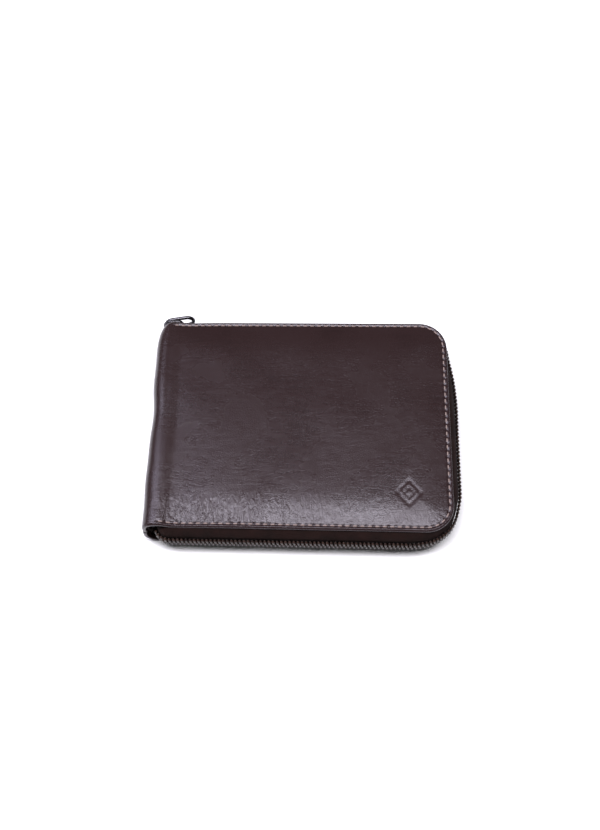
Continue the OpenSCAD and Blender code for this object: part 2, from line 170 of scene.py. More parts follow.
def props():
    """The three groups of properties, leather, zip and inside."""
    s = bpy.context.scene
    return s.wallet_leather, s.wallet_zip, s.wallet_inside


# ---- Colours and materials ----

def to_linear(hex_value):
    """An sRGB hex value as linear red, green, blue and alpha."""
    v = np.array([int(hex_value[i:i + 2], 16) for i in (1, 3, 5)]) / 255
    return [*np.where(v <= 0.04045, v / 12.92, ((v + 0.055) / 1.055) ** 2.4), 1.0]


def add(tree, kind, settings=None, **links):
    """Adds a node. settings holds its properties; links its sockets by name, as values or outputs."""
    n = tree.nodes.new("ShaderNode" + kind)
    for key, value in (settings or {}).items():
        setattr(n, key, value)
    for key, value in links.items():
        key = key.replace("_", " ")
        socket = next(s for s in n.inputs if s.name == key and s.enabled)
        if isinstance(value, bpy.types.NodeSocket):
            tree.links.new(value, socket)
        else:
            socket.default_value = value
    return n


def new_material(name):
    """A material with a Principled shader, and its tree and shader."""
    m = bpy.data.materials.new(name)
    m.use_nodes = True
    return m, m.node_tree, m.node_tree.nodes["Principled BSDF"]


def ramp(tree, factor, *stops):
    """A colour ramp from (position, linear colour) stops."""
    n = add(tree, "ValToRGB", Fac=factor)
    e = n.color_ramp.elements
    while len(e) < len(stops):
        e.new(0.5)
    for element, (place, value) in zip(e, stops):
        element.position = place
        element.color = value
    return n.outputs["Color"]


def grey(v):
    """A linear grey."""
    return (v, v, v, 1)


def surface_map(tree, stretch=(1, 1, 1)):
    """The piece's own map, in metres on the flat sheet, scaled by stretch."""
    uv = add(tree, "UVMap", {"uv_map": "flat"})
    return add(tree, "Mapping", Vector=uv.outputs["UV"], Scale=stretch).outputs["Vector"]


def math_node(tree, operation, a, b):
    """One step of arithmetic on two values."""
    n = add(tree, "Math", {"operation": operation})
    for socket, value in zip(n.inputs, (a, b)):
        if isinstance(value, bpy.types.NodeSocket):
            tree.links.new(value, socket)
        else:
            socket.default_value = value
    return n.outputs[0]


def pattern(tree, kind, place, size_mm, settings=None, **links):
    """A texture whose features are about size_mm apart."""
    return add(tree, "Tex" + kind, settings, Vector=place, Scale=1000 / size_mm, **links)


def uniform(shader, **values):
    """Sets sockets of the shader to single values, by name."""
    for key, value in values.items():
        shader.inputs[key.replace("_", " ")].default_value = value


def tinted(tree, shader, factor, shade, light):
    """Base colour that runs between two (position, sRGB hex) stops of a factor."""
    stops = [(place, to_linear(value)) for place, value in (shade, light)]
    tree.links.new(ramp(tree, factor, *stops), shader.inputs["Base Color"])


def embossed(tree, shader, height, strength, depth_mm, **links):
    """Bump of the given depth under the shader's normal."""
    bump = add(tree, "Bump", Height=height, Strength=strength, Distance=depth_mm * MM, **links)
    tree.links.new(bump.outputs[0], shader.inputs["Normal"])


def rubbed(tree, shader, factor, spread, least):
    """Roughness that varies by spread above its least value."""
    rough = math_node(tree, "MULTIPLY_ADD", factor, spread)
    rough.node.inputs[2].default_value = least
    tree.links.new(rough, shader.inputs["Roughness"])


def grain_leather(name, hide, shade, grain_mm, grain_depth, crease_depth, gloss):
    """Full-grain cowhide, drum dyed, lightly glazed: small pebbles, hairline creases, a soft sheen."""
    m, t, shader = new_material(name)
    place = surface_map(t)
    pebble = pattern(t, "Voronoi", place, grain_mm, {"feature": "DISTANCE_TO_EDGE"}, Randomness=1.0)
    pore = pattern(t, "Noise", place, grain_mm * 0.35, Detail=3.0)
    mottle = pattern(t, "Noise", place, 28, Detail=4.0).outputs["Fac"]
    crease = pattern(t, "Noise", surface_map(t, (2.3, 0.9, 1)), 3.0, Detail=5.0, Distortion=0.6)
    line = pattern(t, "Noise", surface_map(t, (0.35, 1.8, 1)), 3.0, Detail=4.0)
    edges = ramp(t, pebble.outputs["Distance"], (0.0, grey(0)), (0.16, grey(1)))
    height = math_node(t, "MULTIPLY", edges, 0.6)
    for layer, weight in ((pore, 0.55), (line, 1.5)):
        height = math_node(t, "ADD", height, math_node(t, "MULTIPLY", layer.outputs["Fac"], weight))
    folds = math_node(t, "MULTIPLY", ramp(t, crease.outputs["Fac"], (0.38, grey(0)), (0.62, grey(1))),
                      add(t, "Attribute", {"attribute_name": "crease"}).outputs["Fac"])
    grain = add(t, "Bump", Height=height, Strength=0.55, Distance=grain_depth * MM)
    embossed(t, shader, folds, 1.0, crease_depth, Normal=grain.outputs[0])
    tone = math_node(t, "ADD", math_node(t, "MULTIPLY", mottle, 0.8),
                     math_node(t, "MULTIPLY", height, 0.25))
    tinted(t, shader, tone, (0.25, shade), (0.75, hide))
    rubbed(t, shader, mottle, 0.1, gloss)
    uniform(shader, Specular_IOR_Level=0.45, Specular_Tint=to_linear("#f2eff8"), Sheen_Weight=0.03,
            Sheen_Roughness=0.4, Sheen_Tint=to_linear("#c9b4cf"))
    return m


def ridges(tree, place, thread_mm, direction, **links):
    """Rows of threads of the given width."""
    settings = {"wave_type": "BANDS", "bands_direction": direction}
    return pattern(tree, "Wave", place, 2 * thread_mm, settings, **links).outputs["Fac"]


def woven(name, base, light, thread_mm, twill, roughness, sheen):
    """Cloth of fine threads: two crossed sets of ridges, or a diagonal rib for a twill tape."""
    m, t, shader = new_material(name)
    place = surface_map(t)
    warp, weft = (ridges(t, place, thread_mm, way, Distortion=0.4, Detail=1.0)
                  for way in ("DIAGONAL" if twill else "X", "Y"))
    height = math_node(t, "MAXIMUM", warp, weft)
    fuzz = pattern(t, "Noise", place, 6, Detail=3.0)
    tone = math_node(t, "MULTIPLY", height, fuzz.outputs["Fac"])
    tinted(t, shader, tone, (0.15, base), (0.7, light))
    embossed(t, shader, height, 0.7, thread_mm * 0.3)
    uniform(shader, Roughness=roughness, Sheen_Weight=sheen, Specular_IOR_Level=0.12)
    return m


def twisted_thread(name, base, shade):
    """Waxed polyester sewing thread: strands that wind round it show as slanting ridges."""
    m, t, shader = new_material(name)
    strand = ridges(t, surface_map(t), 0.5, "DIAGONAL")
    tinted(t, shader, strand, (0.1, shade), (0.7, base))
    embossed(t, shader, strand, 0.6, 0.08)
    uniform(shader, Roughness=0.6)
    return m


def plated_metal(name, base, roughness):
    """Zinc casting with a polished gunmetal plating: dark mirror with faint rubbing marks."""
    m, t, shader = new_material(name)
    rub = pattern(t, "Noise", add(t, "TexCoord").outputs["Object"], 1.1, Detail=4.0).outputs["Fac"]
    rubbed(t, shader, rub, 0.22, roughness)
    tinted(t, shader, rub, (0.3, base), (0.8, "#5f5d62"))
    uniform(shader, Metallic=1.0)
    return m


def moulded_nylon(name, base, light):
    """Nylon monofilament, heat set into a coil: dark, smooth and a little glossy on its turns."""
    m, t, shader = new_material(name)
    streak = pattern(t, "Noise", add(t, "TexCoord").outputs["Object"], 2.5, Detail=2.0)
    tinted(t, shader, streak.outputs["Fac"], (0.3, base), (0.8, light))
    uniform(shader, Roughness=0.34, Specular_IOR_Level=0.2, IOR=1.53)
    return m


def bonded_board(name, base):
    """Board of pressed leather fibres: matt, mottled, with a fibrous surface."""
    m, t, shader = new_material(name)
    fibre = pattern(t, "Noise", surface_map(t), 1.5, Detail=6.0).outputs["Fac"]
    tinted(t, shader, fibre, (0.3, "#6c6154"), (0.7, base))
    embossed(t, shader, fibre, 0.4, 0.05)
    uniform(shader, Roughness=0.9)
    return m


MATERIALS = {}


def make_materials():
    """Every finish of the wallet, by name."""
    leather, zipper, inside = props()
    MATERIALS.update({
        "hide": grain_leather("full_grain_cowhide", leather.hide, leather.hide_dark,
                              grain_mm=0.85, grain_depth=0.06, crease_depth=0.22, gloss=0.22),
        "panel": grain_leather("split_leather", inside.panel_colour, "#1e1512",
                               grain_mm=0.6, grain_depth=0.04, crease_depth=0.1, gloss=0.42),
        "lining": woven("plain_weave_lining", inside.lining_colour, "#3a2e2b",
                        thread_mm=0.35, twill=False, roughness=0.8, sheen=0.1),
        # Painted shade: both tape colours are darkened to stand in for the shade under the hide's
        # overhang.
        "tape": woven("twill_zip_tape", zipper.tape_colour_with_painted_shade, "#24120f",
                      thread_mm=0.45, twill=True, roughness=0.85, sheen=0.0),
        "thread": twisted_thread("waxed_thread", leather.thread_colour, "#6e5f5a"),
        "dark_thread": twisted_thread("dark_waxed_thread", "#857066", "#4d3f39"),
        "coil": moulded_nylon("nylon_coil", zipper.coil_colour, "#3a2922"),
        "metal": plated_metal("gunmetal_plating", zipper.metal_colour, roughness=0.16),
        "board": bonded_board("bonded_leather_board", inside.board_colour),
    })


# ---- Meshes from grids ----

def grid_quads(rows, columns, closed=False, flip=False):
    """Quads of a grid of points counted row by row; closed joins the last column to the first."""
    i = np.arange(rows - 1)[:, None]
    j = np.arange(columns if closed else columns - 1)[None, :]
    k = (j + 1) % columns
    q = np.stack([i * columns + j, i * columns + k, (i + 1) * columns + k, (i + 1) * columns + j], -1)
    q = q.reshape(-1, 4)
    return q[:, ::-1] if flip else q


class Surface:
    """Gathers grids of points, with their flat map and crease values, into one mesh."""

    def __init__(self):
        self.points, self.maps, self.creases, self.quads = [], [], [], []
        self.count = 0

    def grid(self, points, flat=None, crease=None, closed=False, flip=False):
        """Adds a grid of points, rows by columns by 3, in millimetres."""
        points = np.asarray(points, float)
        rows, columns = points.shape[:2]
        flat = points[..., :2] if flat is None else np.asarray(flat, float)
        crease = np.broadcast_to(0.0 if crease is None else crease, (rows, columns))
        return self.gather(grid_quads(rows, columns, closed, flip), points, flat, crease)

    def copies(self, points, flat):
        """Adds many alike closed grids at once: copies by rows by columns by 3."""
        n, rows, columns = points.shape[:3]
        shift = (np.arange(n) * rows * columns)[:, None, None]
        quads = (grid_quads(rows, columns, closed=True)[None] + shift).reshape(-1, 4)
        return self.gather(quads, points, np.broadcast_to(flat, points.shape[:3] + (2,)),
                           np.zeros(points.shape[:3]))

    def gather(self, quads, points, flat, crease):
        """Keeps quads, counted from 0, with their points, flat map and crease values."""
        self.quads.append(quads + self.count)
        self.points.append(points.reshape(-1, 3))
        self.maps.append(flat.reshape(-1, 2))
        self.creases.append(np.array(crease).reshape(-1))
        self.count += len(self.points[-1])
        return self

    def piece(self, name, material, weld=WELD):
        """The mesh as a Blender object at the origin. Points nearer than weld millimetres are joined."""
        mesh = bpy.data.meshes.new(name)
        points = worn(np.concatenate(self.points)) * MM
        quads = np.concatenate(self.quads)
        mesh.from_pydata(points.tolist(), [], quads.tolist())
        uv = mesh.uv_layers.new(name="flat")
        flat = np.concatenate(self.maps) * MM
        uv.data.foreach_set("uv", flat[quads.reshape(-1)].astype(np.float32).ravel())
        attribute = mesh.attributes.new("crease", "FLOAT", "POINT")
        attribute.data.foreach_set("value", np.concatenate(self.creases).astype(np.float32))
        bm = bmesh.new()
        bm.from_mesh(mesh)
        bmesh.ops.remove_doubles(bm, verts=bm.verts, dist=weld * MM)
        bmesh.ops.dissolve_degenerate(bm, dist=1e-7, edges=bm.edges)
        bmesh.ops.recalc_face_normals(bm, faces=bm.faces)
        bm.to_mesh(mesh)
        bm.free()
        mesh.polygons.foreach_set("use_smooth", np.ones(len(mesh.polygons), bool))
        mesh.materials.append(MATERIALS[material])
        return in_scene(name, mesh)


def side_of(front):
    """The word for a cover in the names of pieces, nodes and bodies."""
    return "front" if front else "back"


def grown_share(x):
    """Share of the wallet's growth at x, from 0 at the fold to 1 at the zip side."""
    return np.clip((x - X_FLAT) / (X_EDGE - X_FLAT), -0.1, 1.1)


def worn(points):
    """The wallet as grown with use: a little deeper towards the zip side, and at the back edge."""
    x, y, z = points.T
    back = 0.8 * smooth(-20, Y_EDGE, y)
    return np.stack([x, y * (1 + GROWTH * grown_share(x)) + back, z], -1)


def stepped(*stops):
    """Values through the stops (value, step), each stretch divided evenly by its step."""
    parts = [np.linspace(a, b, max(2, int(round((b - a) / step)) + 1))[:-1]
             for (a, step), (b, _) in zip(stops[:-1], stops[1:])]
    return np.concatenate(parts + [[stops[-1][0]]])


def smooth(a, b, x):
    """A smooth rise from 0 at a to 1 at b."""
    t = np.clip((x - a) / (b - a), 0, 1)
    return t * t * (3 - 2 * t)


def bell(x, width):
    """A round bump of height 1 at x = 0."""
    return np.exp(-(x / width) ** 2)


def lopsided(x, left, right):
    """A bell with one width below 0 and another above it."""
    return np.where(x < 0, bell(x, left), bell(x, right))


def fading(x, reach):
    """1 up to x = 0, then dying away over reach."""
    return np.exp(-np.maximum(x, 0) / reach)


def soft_noise(x, y, size, seed):
    """Smooth noise from -1 to 1: a sum of 14 seeded plane waves with wavelengths about size."""
    rng = np.random.default_rng(seed)
    waves, level = 14, 5
    total = np.zeros(np.broadcast(x, y).shape)
    for angle, phase, scale in zip(rng.uniform(0, math.tau, waves), rng.uniform(0, math.tau, waves),
                                   rng.uniform(0.6, 1.8, waves)):
        total += np.sin((x * math.cos(angle) + y * math.sin(angle)) * math.tau * scale / size + phase)
    return total / level


# ---- The covers' shape ----

def edge_distance(x, y):
    """Distance inwards from the three stitched edges of a cover, whose corners have radius CORNER_R."""
    dx = x - X_CORNER
    dy = np.abs(y) - Y_CORNER
    corner = CORNER_R - np.hypot(np.maximum(dx, 0), np.maximum(dy, 0))
    return np.where((dx > 0) & (dy > 0), corner, np.minimum(X_EDGE - x, Y_EDGE - np.abs(y)))


def along_edge(x, y, inset):
    """Distance along the stitch line to the point nearest to (x, y), and the line's three lengths."""
    run, arc, side = X_CORNER - X_FLAT, QUARTER * (CORNER_R - inset), 2 * Y_CORNER
    angle = np.arctan2(np.abs(y) - Y_CORNER, x - X_CORNER)
    in_corner = (x > X_CORNER) & (np.abs(y) > Y_CORNER)
    on_side = (X_EDGE - x) < (Y_EDGE - np.abs(y))
    side_place = run + arc + side / 2 - y
    back = np.where(in_corner, run + arc * (1 - angle / QUARTER), x - X_FLAT)
    front = np.where(in_corner, run + arc + side + arc * angle / QUARTER,
                     2 * run + 2 * arc + side - (x - X_FLAT))
    place = np.where(y > 0, back, front)
    return np.where(on_side & ~in_corner, side_place, place), (run, arc, side)


def stitch_count(length, pitch):
    """How many whole stitches fit in a length."""
    return max(1, int(length // pitch))


def stitch_phase(x, y, inset, pitch):
    """Place within the nearest stitch, 0 at a needle hole and 1 at the next."""
    place, (run, arc, side) = along_edge(x, y, inset)
    lengths = (run, arc, side, arc, run)
    phase = np.zeros(np.shape(place))
    for start, length in zip(np.cumsum([0, *lengths]), lengths):
        n = stitch_count(length, pitch) if length in (run, side) else round(length / pitch)
        inside = (place >= start) & (place <= start + length)
        phase = np.where(inside, ((place - start) / (length / n)) % 1.0, phase)
    return phase


def cover_profile(s):
    """Middle line of the outer face as (x, z, outward normal x, outward normal z).

    s runs from the middle of the spine, up its straight, round the fold of radius FOLD_R, and along the
    flat; z is for the front cover.
    """
    angle = np.clip((s - STRAIGHT) / FOLD_R, 0, QUARTER)
    x = X_FLAT - FOLD_R * np.cos(angle) + np.maximum(s - STRAIGHT - ARC, 0)
    z = Z_MID + np.minimum(s, STRAIGHT) + FOLD_R * np.sin(angle)
    return x, z, -np.cos(angle), np.sin(angle)


def half_depth(x):
    """Half of the cover's depth at x, which falls along the corner's arc."""
    return Y_CORNER + np.sqrt(np.maximum(CORNER_R ** 2 - np.maximum(x - X_CORNER, 0) ** 2, 0))


def crown(x, y, front):
    """Rise of the padded front cover over its stitched edges, followed by all that lies under it.

    It rises as 1 - exp(-(d / slope) ^ 1.5), with d the distance inwards from the flat hem.
    """
    if not front:
        return np.zeros(np.broadcast(x, y).shape)
    hem, slope = 1.6, 7.0
    leather = props()[0]
    flat = smooth(X_FLAT - 3, X_FLAT + 10, x)
    rise = 1 - np.exp(-(np.maximum(edge_distance(x, y) - hem, 0) / slope) ** 1.5)
    return (leather.crown / MM * rise - leather.sink / MM) * flat


def cover_relief(x, y, s, leather, seed, front):
    """Height of the hide above the plain shape.

    The padded panel rises from the stitch line to the crown; the stitches pull a groove with a pit at
    each needle hole, which gathers small puckers beside it; a roll and a shallow valley follow the fold;
    slow noise makes it uneven, and a fan of small folds spreads from the front end of the spine.
    """
    groove_wide, pit_wide, pit_deep = 0.6, 0.4, 0.3
    pucker_high, pucker_reach = 0.025, 2.4
    rim_wide, rim_deep = 0.75, 0.35
    fan_high, fan_from, fan_reach = 0.05, 30, 15
    e = edge_distance(x, y)
    inset = leather.stitch_inset / MM
    phase = stitch_phase(x, y, inset, leather.stitch_pitch / MM)
    hole = np.abs(phase - 0.5) * 2
    groove = -leather.groove / MM * bell(e - inset, groove_wide) * (0.5 + 0.5 * hole ** 2)
    pits = -pit_deep * bell(e - inset, pit_wide) * hole ** 6
    pucker = pucker_high * np.cos(math.tau * phase) * fading(e - inset, pucker_reach) * smooth(0, 0.8, e)
    on_cover = smooth(S_FLAT - 1, S_FLAT + 2, s)
    uneven = 0.09 * soft_noise(x, y, 34, seed) + 0.012 * soft_noise(x, y, 9, seed + 1)
    rolled = -rim_deep * smooth(rim_wide, 0, e) ** 2
    height = (groove - pucker + pits) * on_cover + rolled + uneven * smooth(0, 5, e)
    if not front:
        return height * 0.3
    front_part = smooth(Y_EDGE, -Y_EDGE, y)
    fold = s - S_FLAT
    roll = 0.4 * bell(fold + 5, 3.0) + 0.34 * front_part * bell(fold - 1.2, 2.4)
    roll = roll - (0.25 + 0.4 * front_part) * lopsided(fold - 5, 2.4, 12.0)
    roll = roll - 0.3 * (1 - front_part) * lopsided(fold - 0.4, 1.3, 6.0)
    fan = fan_high * fading(x - X_FOLD - fan_from, fan_reach)
    fan = fan * soft_noise((x + 54) * 2.2, (y + 45) * 0.5, 7, seed + 2)
    fan = fan * fading(y + Y_EDGE - 4, 9) * smooth(2, 6, e)
    return height + roll + fan + crown(x, y, True)


def crease_strength(x, y, seed):
    """Where hairline creases show: in a fan at the front edge near the fold, and faintly elsewhere."""
    patch = 0.5 + 0.5 * soft_noise(x, y, 16, seed)
    front = smooth(-Y_EDGE + 15 + 4 * patch, -Y_EDGE + 5, y)
    left = fading(x - X_FOLD - 30, 28) * smooth(X_FOLD + 3, X_FOLD + 12, x)
    return np.clip(0.03 + 0.95 * front * (0.22 + 0.78 * left) * (0.65 + 0.35 * patch), 0, 1)


def lozenge(x, y):
    """Depth, from 0 to 1, of a stamped lozenge with an open middle, near the front zip-side corner."""
    from_side, from_front, half_x, half_y = 17.2, 15.2, 4.6, 5.0
    d = np.abs(x - (X_EDGE - from_side)) / half_x + np.abs(y + Y_EDGE - from_front) / half_y
    return bell(d - 1, 0.15) + 0.9 * bell(d - 0.42, 0.14)


def pinch(x, y, z):
    """Moves points near the spine: its line is wavy, and its back end is squeezed in."""
    near = fading(x - X_FOLD, 9)
    to_back = Y_EDGE - y
    back = 1.9 * np.exp(-to_back / 8) + 1.5 * np.exp(-to_back / 1.6)
    waist = 0.85 * bell(y - 4, 13) + 0.12 * np.sin(y / 3.3)
    squeeze = near * 0.1 * np.exp(-to_back / 9)
    return x + near * (back + waist), y, Z_MID + (z - Z_MID) * (1 - squeeze)


def cover_face(leather, front, s, v, drop):
    """Points of a cover's skin. s is along the profile, v from -1 to 1 along the depth.

    drop is how far below the outer face the skin is; at drop 0 it carries the stamp too.
    """
    px, pz, nx, nz = cover_profile(s)
    y = v * half_depth(px)
    relief = cover_relief(px, y, s, leather, 3 if front else 11, front)
    if front and drop == 0:
        relief = relief - leather.stamp / MM * lozenge(px, y)
    return off_profile(px, y, pz, nx, nz, relief - drop, front)


def off_profile(px, y, pz, nx, nz, h, front):
    """Points at height h over the profile, pinched, and turned over for the back cover."""
    x, y, z = pinch(px + nx * h, y, pz + nz * h)
    return np.stack([x, y, z if front else T - z], -1)


def layer_face(front, s, y, drop):
    """Points of a smooth layer under the hide, drop below the plain outer face."""
    px, pz, nx, nz = cover_profile(s)
    return off_profile(px, y, pz, nx, nz, crown(px, y, front) - drop, front)


def cover_samples():
    """Grid lines along the profile and across the depth, closer along the edges and at the stamp."""
    theta = np.linspace(0, math.pi / 2, 26)
    corner = S_FLAT + (X_CORNER - X_FLAT) + CORNER_R * np.sin(theta)
    to_flat = stepped((0, 0.9), (STRAIGHT, 0.55), (S_FLAT + 6, 0.62), (S_FLAT + X_CORNER - X_FLAT, 1))
    s = np.concatenate([to_flat[:-1], corner])
    e = stepped((0, 0.15), (0.6, 0.2), (2.6, 0.35), (5.5, 0.62), (Y_EDGE, 1))
    half = 1 - e / Y_EDGE
    v = np.concatenate([-half, half[::-1][1:]])
    return s, v


# ---- Pieces ----

def make_cover_leather(front):
    """One half of the hide: outer face, rounded cut edge, and inner face, closed all round."""
    rim_bulge = 0.22
    leather = props()[0]
    s, v = cover_samples()
    ss, vv = np.meshgrid(s, v, indexing="ij")
    outer = cover_face(leather, front, ss, vv, 0.0)
    inner = cover_face(leather, front, ss, vv, LEATHER_T)
    px = cover_profile(ss)[0]
    flat = np.stack([ss, vv * half_depth(px)], -1)
    crease = crease_strength(px, vv * half_depth(px), 5 if front else 17)
    skin = Surface()
    skin.grid(outer, flat, crease)
    skin.grid(inner, flat, crease * 0, flip=True)
    i, j = np.arange(len(s)), np.arange(len(v))
    ring = np.concatenate([np.stack(np.broadcast_arrays(a, b), -1) for a, b in (
        (i, 0), (len(s) - 1, j), (i[::-1], len(v) - 1), (0, j[::-1]))])
    a, b = outer[ring[:, 0], ring[:, 1]], inner[ring[:, 0], ring[:, 1]]
    side = np.cross(np.gradient(a, axis=0), b - a)
    side = side / np.maximum(np.linalg.norm(side, axis=1, keepdims=True), 1e-9)
    side = side * np.sign(np.sum(side * (a - np.mean(a, axis=0)), axis=1, keepdims=True))
    bulge = np.where(ring[:, 0] > 0, rim_bulge, 0.0)[:, None]
    k = np.linspace(0, 1, 5)[:, None, None]
    rim = a[None] * (1 - k) + b[None] * k + side[None] * bulge[None] * np.sin(math.pi * k)
    rim_flat = flat[ring[:, 0], ring[:, 1]][None] + k[..., :1] * np.array([1.3, 1.3])
    skin.grid(rim, rim_flat, 0.2)
    obj = skin.piece("leather_" + side_of(front), "hide")
    fold_blend(obj)
    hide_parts(side_of(front) + "_cover_leather", "spine_leather")


def on_cover(leather, front, x, y, drop):
    """Points on a cover's outer face above plan points (x, y) of its flat."""
    s = S_FLAT + x - X_FLAT
    return cover_face(leather, front, s, y / half_depth(x), drop)


def stitch_places(leather):
    """Plan points, directions and lengths of every stitch along a cover's three sides."""
    inset, pitch = leather.stitch_inset / MM, leather.stitch_pitch / MM
    run, side = X_CORNER - X_FLAT, 2 * Y_CORNER
    r = CORNER_R - inset
    arc = QUARTER * r
    n_run, n_side, n_arc = stitch_count(run, pitch), stitch_count(side, pitch), round(arc / pitch)
    t, u, w = ((np.arange(n) + 0.5) / n for n in (n_run, n_side, n_arc))
    w = w * math.pi / 2
    rows = []
    for sign in (-1, 1):
        rows.append((X_FLAT + t * run, sign * (Y_EDGE - inset), 0.0, run / n_run))
        rows.append((X_CORNER + r * np.cos(w), sign * (Y_CORNER + r * np.sin(w)), sign * (w + QUARTER),
                     arc / n_arc))
    rows.append((X_EDGE - inset, -Y_CORNER + u * side, QUARTER, side / n_side))
    return np.concatenate([np.stack(np.broadcast_arrays(*row), -1) for row in rows])


def thread_grid(places, radius, share, lift, surface, way):
    """One tube a stitch: an arch whose ends dive into the needle holes.

    Along it t runs from -1 to 1; height is lift (1 - t^4) - dive t^8 and the tube thins at its ends.
    """
    dive, widen, flatten = 0.55, 1.12, 0.88
    t = np.linspace(-1, 1, 9)
    angle = np.linspace(0, math.tau, 8, endpoint=False)
    half = places[:, 3] / 2 * share
    along = t[None, :] * half[:, None]
    cx = places[:, 0, None] + along * np.cos(places[:, 2, None])
    cy = places[:, 1, None] + along * np.sin(places[:, 2, None])
    centre = surface(cx, cy)
    up = np.broadcast_to([0, 0, float(way)], centre.shape)
    centre = centre + up * (lift * (1 - t ** 4) - dive * t ** 8)[None, :, None]
    thin = radius * np.sqrt(np.clip(1.04 - t ** 6, 0, 1))
    side = np.stack([-np.sin(places[:, 2]), np.cos(places[:, 2]), np.zeros(len(places))], -1)
    ring = (np.cos(angle)[None, None, :, None] * side[:, None, None, :] * widen
            + np.sin(angle)[None, None, :, None] * up[:, :, None, :] * flatten)
    points = centre[:, :, None, :] + thin[None, :, None, None] * ring
    flat = np.stack(np.broadcast_arrays(t[:, None] * 1.2, angle[None, :] * radius), -1)
    return points, flat


def make_stitching(front):
    """Every stitch of one cover as a short thread."""
    lift = sunk = 0.1
    leather = props()[0]
    points, flat = thread_grid(stitch_places(leather), leather.thread / MM / 2, STITCH_SHARE, lift,
                               lambda x, y: on_cover(leather, front, x, y, sunk), 1 if front else -1)
    side = side_of(front)
    finish_piece(Surface().copies(points, flat), "stitching_" + side, "thread", side + "_cover",
                 "beige_thread", side + "_stitching", weld=FINE_WELD)


def zip_path(samples_per_mm):
    """The zip's line: foot point on the covers' edge, outward direction, and length along the chain.

    It follows the back edge, the corner, the zip side, the other corner, the front edge and the curl.
    """
    x_curl, y_curl = X_FOLD + 3.8 + CURL_R, -Y_EDGE - N_CHAIN + CURL_R
    turn = (CORNER_R + N_CHAIN) * math.pi / 2

    def part(length, x, y, angle, radius=0.0):
        count = max(3, int(length * samples_per_mm))
        x, y, angle = (np.linspace(*v, count) for v in (x, y, angle))
        return np.stack([x + radius * np.cos(angle), y + radius * np.sin(angle), angle])

    edge, back, front = (X_EDGE,) * 2, (Y_EDGE,) * 2, (-Y_EDGE,) * 2
    corner_x, corner_y, near_y = (X_CORNER,) * 2, (Y_CORNER,) * 2, (-Y_CORNER,) * 2
    parts = [
        part(X_CORNER - ZIP_START, (ZIP_START, X_CORNER), back, (QUARTER, QUARTER)),
        part(turn, corner_x, corner_y, (QUARTER, 0), CORNER_R),
        part(2 * Y_CORNER, edge, (Y_CORNER, -Y_CORNER), (0, 0)),
        part(turn, corner_x, near_y, (0, -QUARTER), CORNER_R),
        part(X_CORNER - x_curl, (X_CORNER, x_curl), front, (-QUARTER, -QUARTER)),
        part(CURL_R * math.pi / 2, (x_curl,) * 2, (y_curl,) * 2, (-QUARTER, -math.pi), CURL_R - N_CHAIN),
    ]
    parts = [p[:, :-1] for p in parts[:-1]] + parts[-1:]
    foot_x, foot_y, angle = np.concatenate(parts, axis=1)
    out = np.stack([np.cos(angle), np.sin(angle)], -1)
    foot = np.stack([foot_x, foot_y], -1)
    line = foot + out * (N_CHAIN - 0.8)
    return foot, out, run_length(line)


def run_length(line):
    """Length along a line of points, from 0 at its first."""
    return np.concatenate([[0], np.cumsum(np.linalg.norm(np.diff(line, axis=0), axis=1))])


def tucked(foot):
    """How far the zip is tucked in under the covers: at the back, easing off down the zip side."""
    x, y = foot[..., 0], foot[..., 1]
    behind = smooth(6, Y_CORNER, y)
    grown = GROWTH * Y_EDGE * grown_share(x)
    at_corner, at_fold = smooth(X_CORNER, X_CORNER + 9, x), bell(x - X_FOLD - 2, 2.0)
    back = behind * (TUCK + grown + 0.3 * at_corner + 2.2 * at_fold)
    beside = smooth(X_CORNER, X_EDGE, x)
    corner = smooth(X_CORNER - 6, X_CORNER + 8, x) * smooth(-Y_CORNER + 7, -Y_CORNER - 5, y)
    return back + 1.9 * corner - 1.5 * beside * bell(y - 25, 12)


def sweep(profile_n, profile_z, foot, out, upper):
    """A profile of (distance out, height) carried along the zip's line; upper turns it over.

    The part beyond the covers' edge is tucked in, and the upper hem sinks with the front cover's edge.
    """
    shape = np.broadcast(profile_n, profile_z, foot[:, :1]).shape
    n = np.broadcast_to(profile_n, shape)
    n = n - tucked(foot)[:, None] * smooth(-3.5, N_TAPE_OUT - 0.5, n)
    z = np.broadcast_to(profile_z, shape)
    if upper:
        z = T - z - props()[0].sink / MM * smooth(Z_MID - 0.5, LEATHER_T + 1.2, z)
    plan = foot[:, None, :] + out[:, None, :] * n[..., None]
    return np.concatenate([plan, z[..., None]], -1)


def tape_line(count):
    """Middle line of the tape's section: hem under the hide, a bulge out past the edge, and the wall."""
    n_wall = N_TAPE_OUT - TAPE_T / 2
    z_hem = LEATHER_T + TAPE_T / 2
    knots_n = np.array([-HEM_IN, -2.5, -0.2, 1.35, n_wall - 0.1, n_wall + 0.12, n_wall])
    knots_z = np.array([z_hem, z_hem, z_hem + 0.12, z_hem + 1.1, z_hem + 2.6, Z_MID - 3.2, Z_MID - 0.42])
    length = np.concatenate([[0], np.cumsum(np.hypot(np.diff(knots_n), np.diff(knots_z)))])
    t = np.linspace(0, length[-1], count)
    n, z = catmull(length, knots_n, t), catmull(length, knots_z, t)
    return n, z, t


def catmull(at, values, t):
    """Cubic Hermite curve through the values, with slopes from their neighbours."""
    slope = np.gradient(values, at)
    i = np.clip(np.searchsorted(at, t, side="right") - 1, 0, len(at) - 2)
    h = at[i + 1] - at[i]
    u = (t - at[i]) / h
    return ((2 * u ** 3 - 3 * u ** 2 + 1) * values[i] + (u ** 3 - 2 * u ** 2 + u) * h * slope[i]
            + (3 * u ** 2 - 2 * u ** 3) * values[i + 1] + (u ** 3 - u ** 2) * h * slope[i + 1])


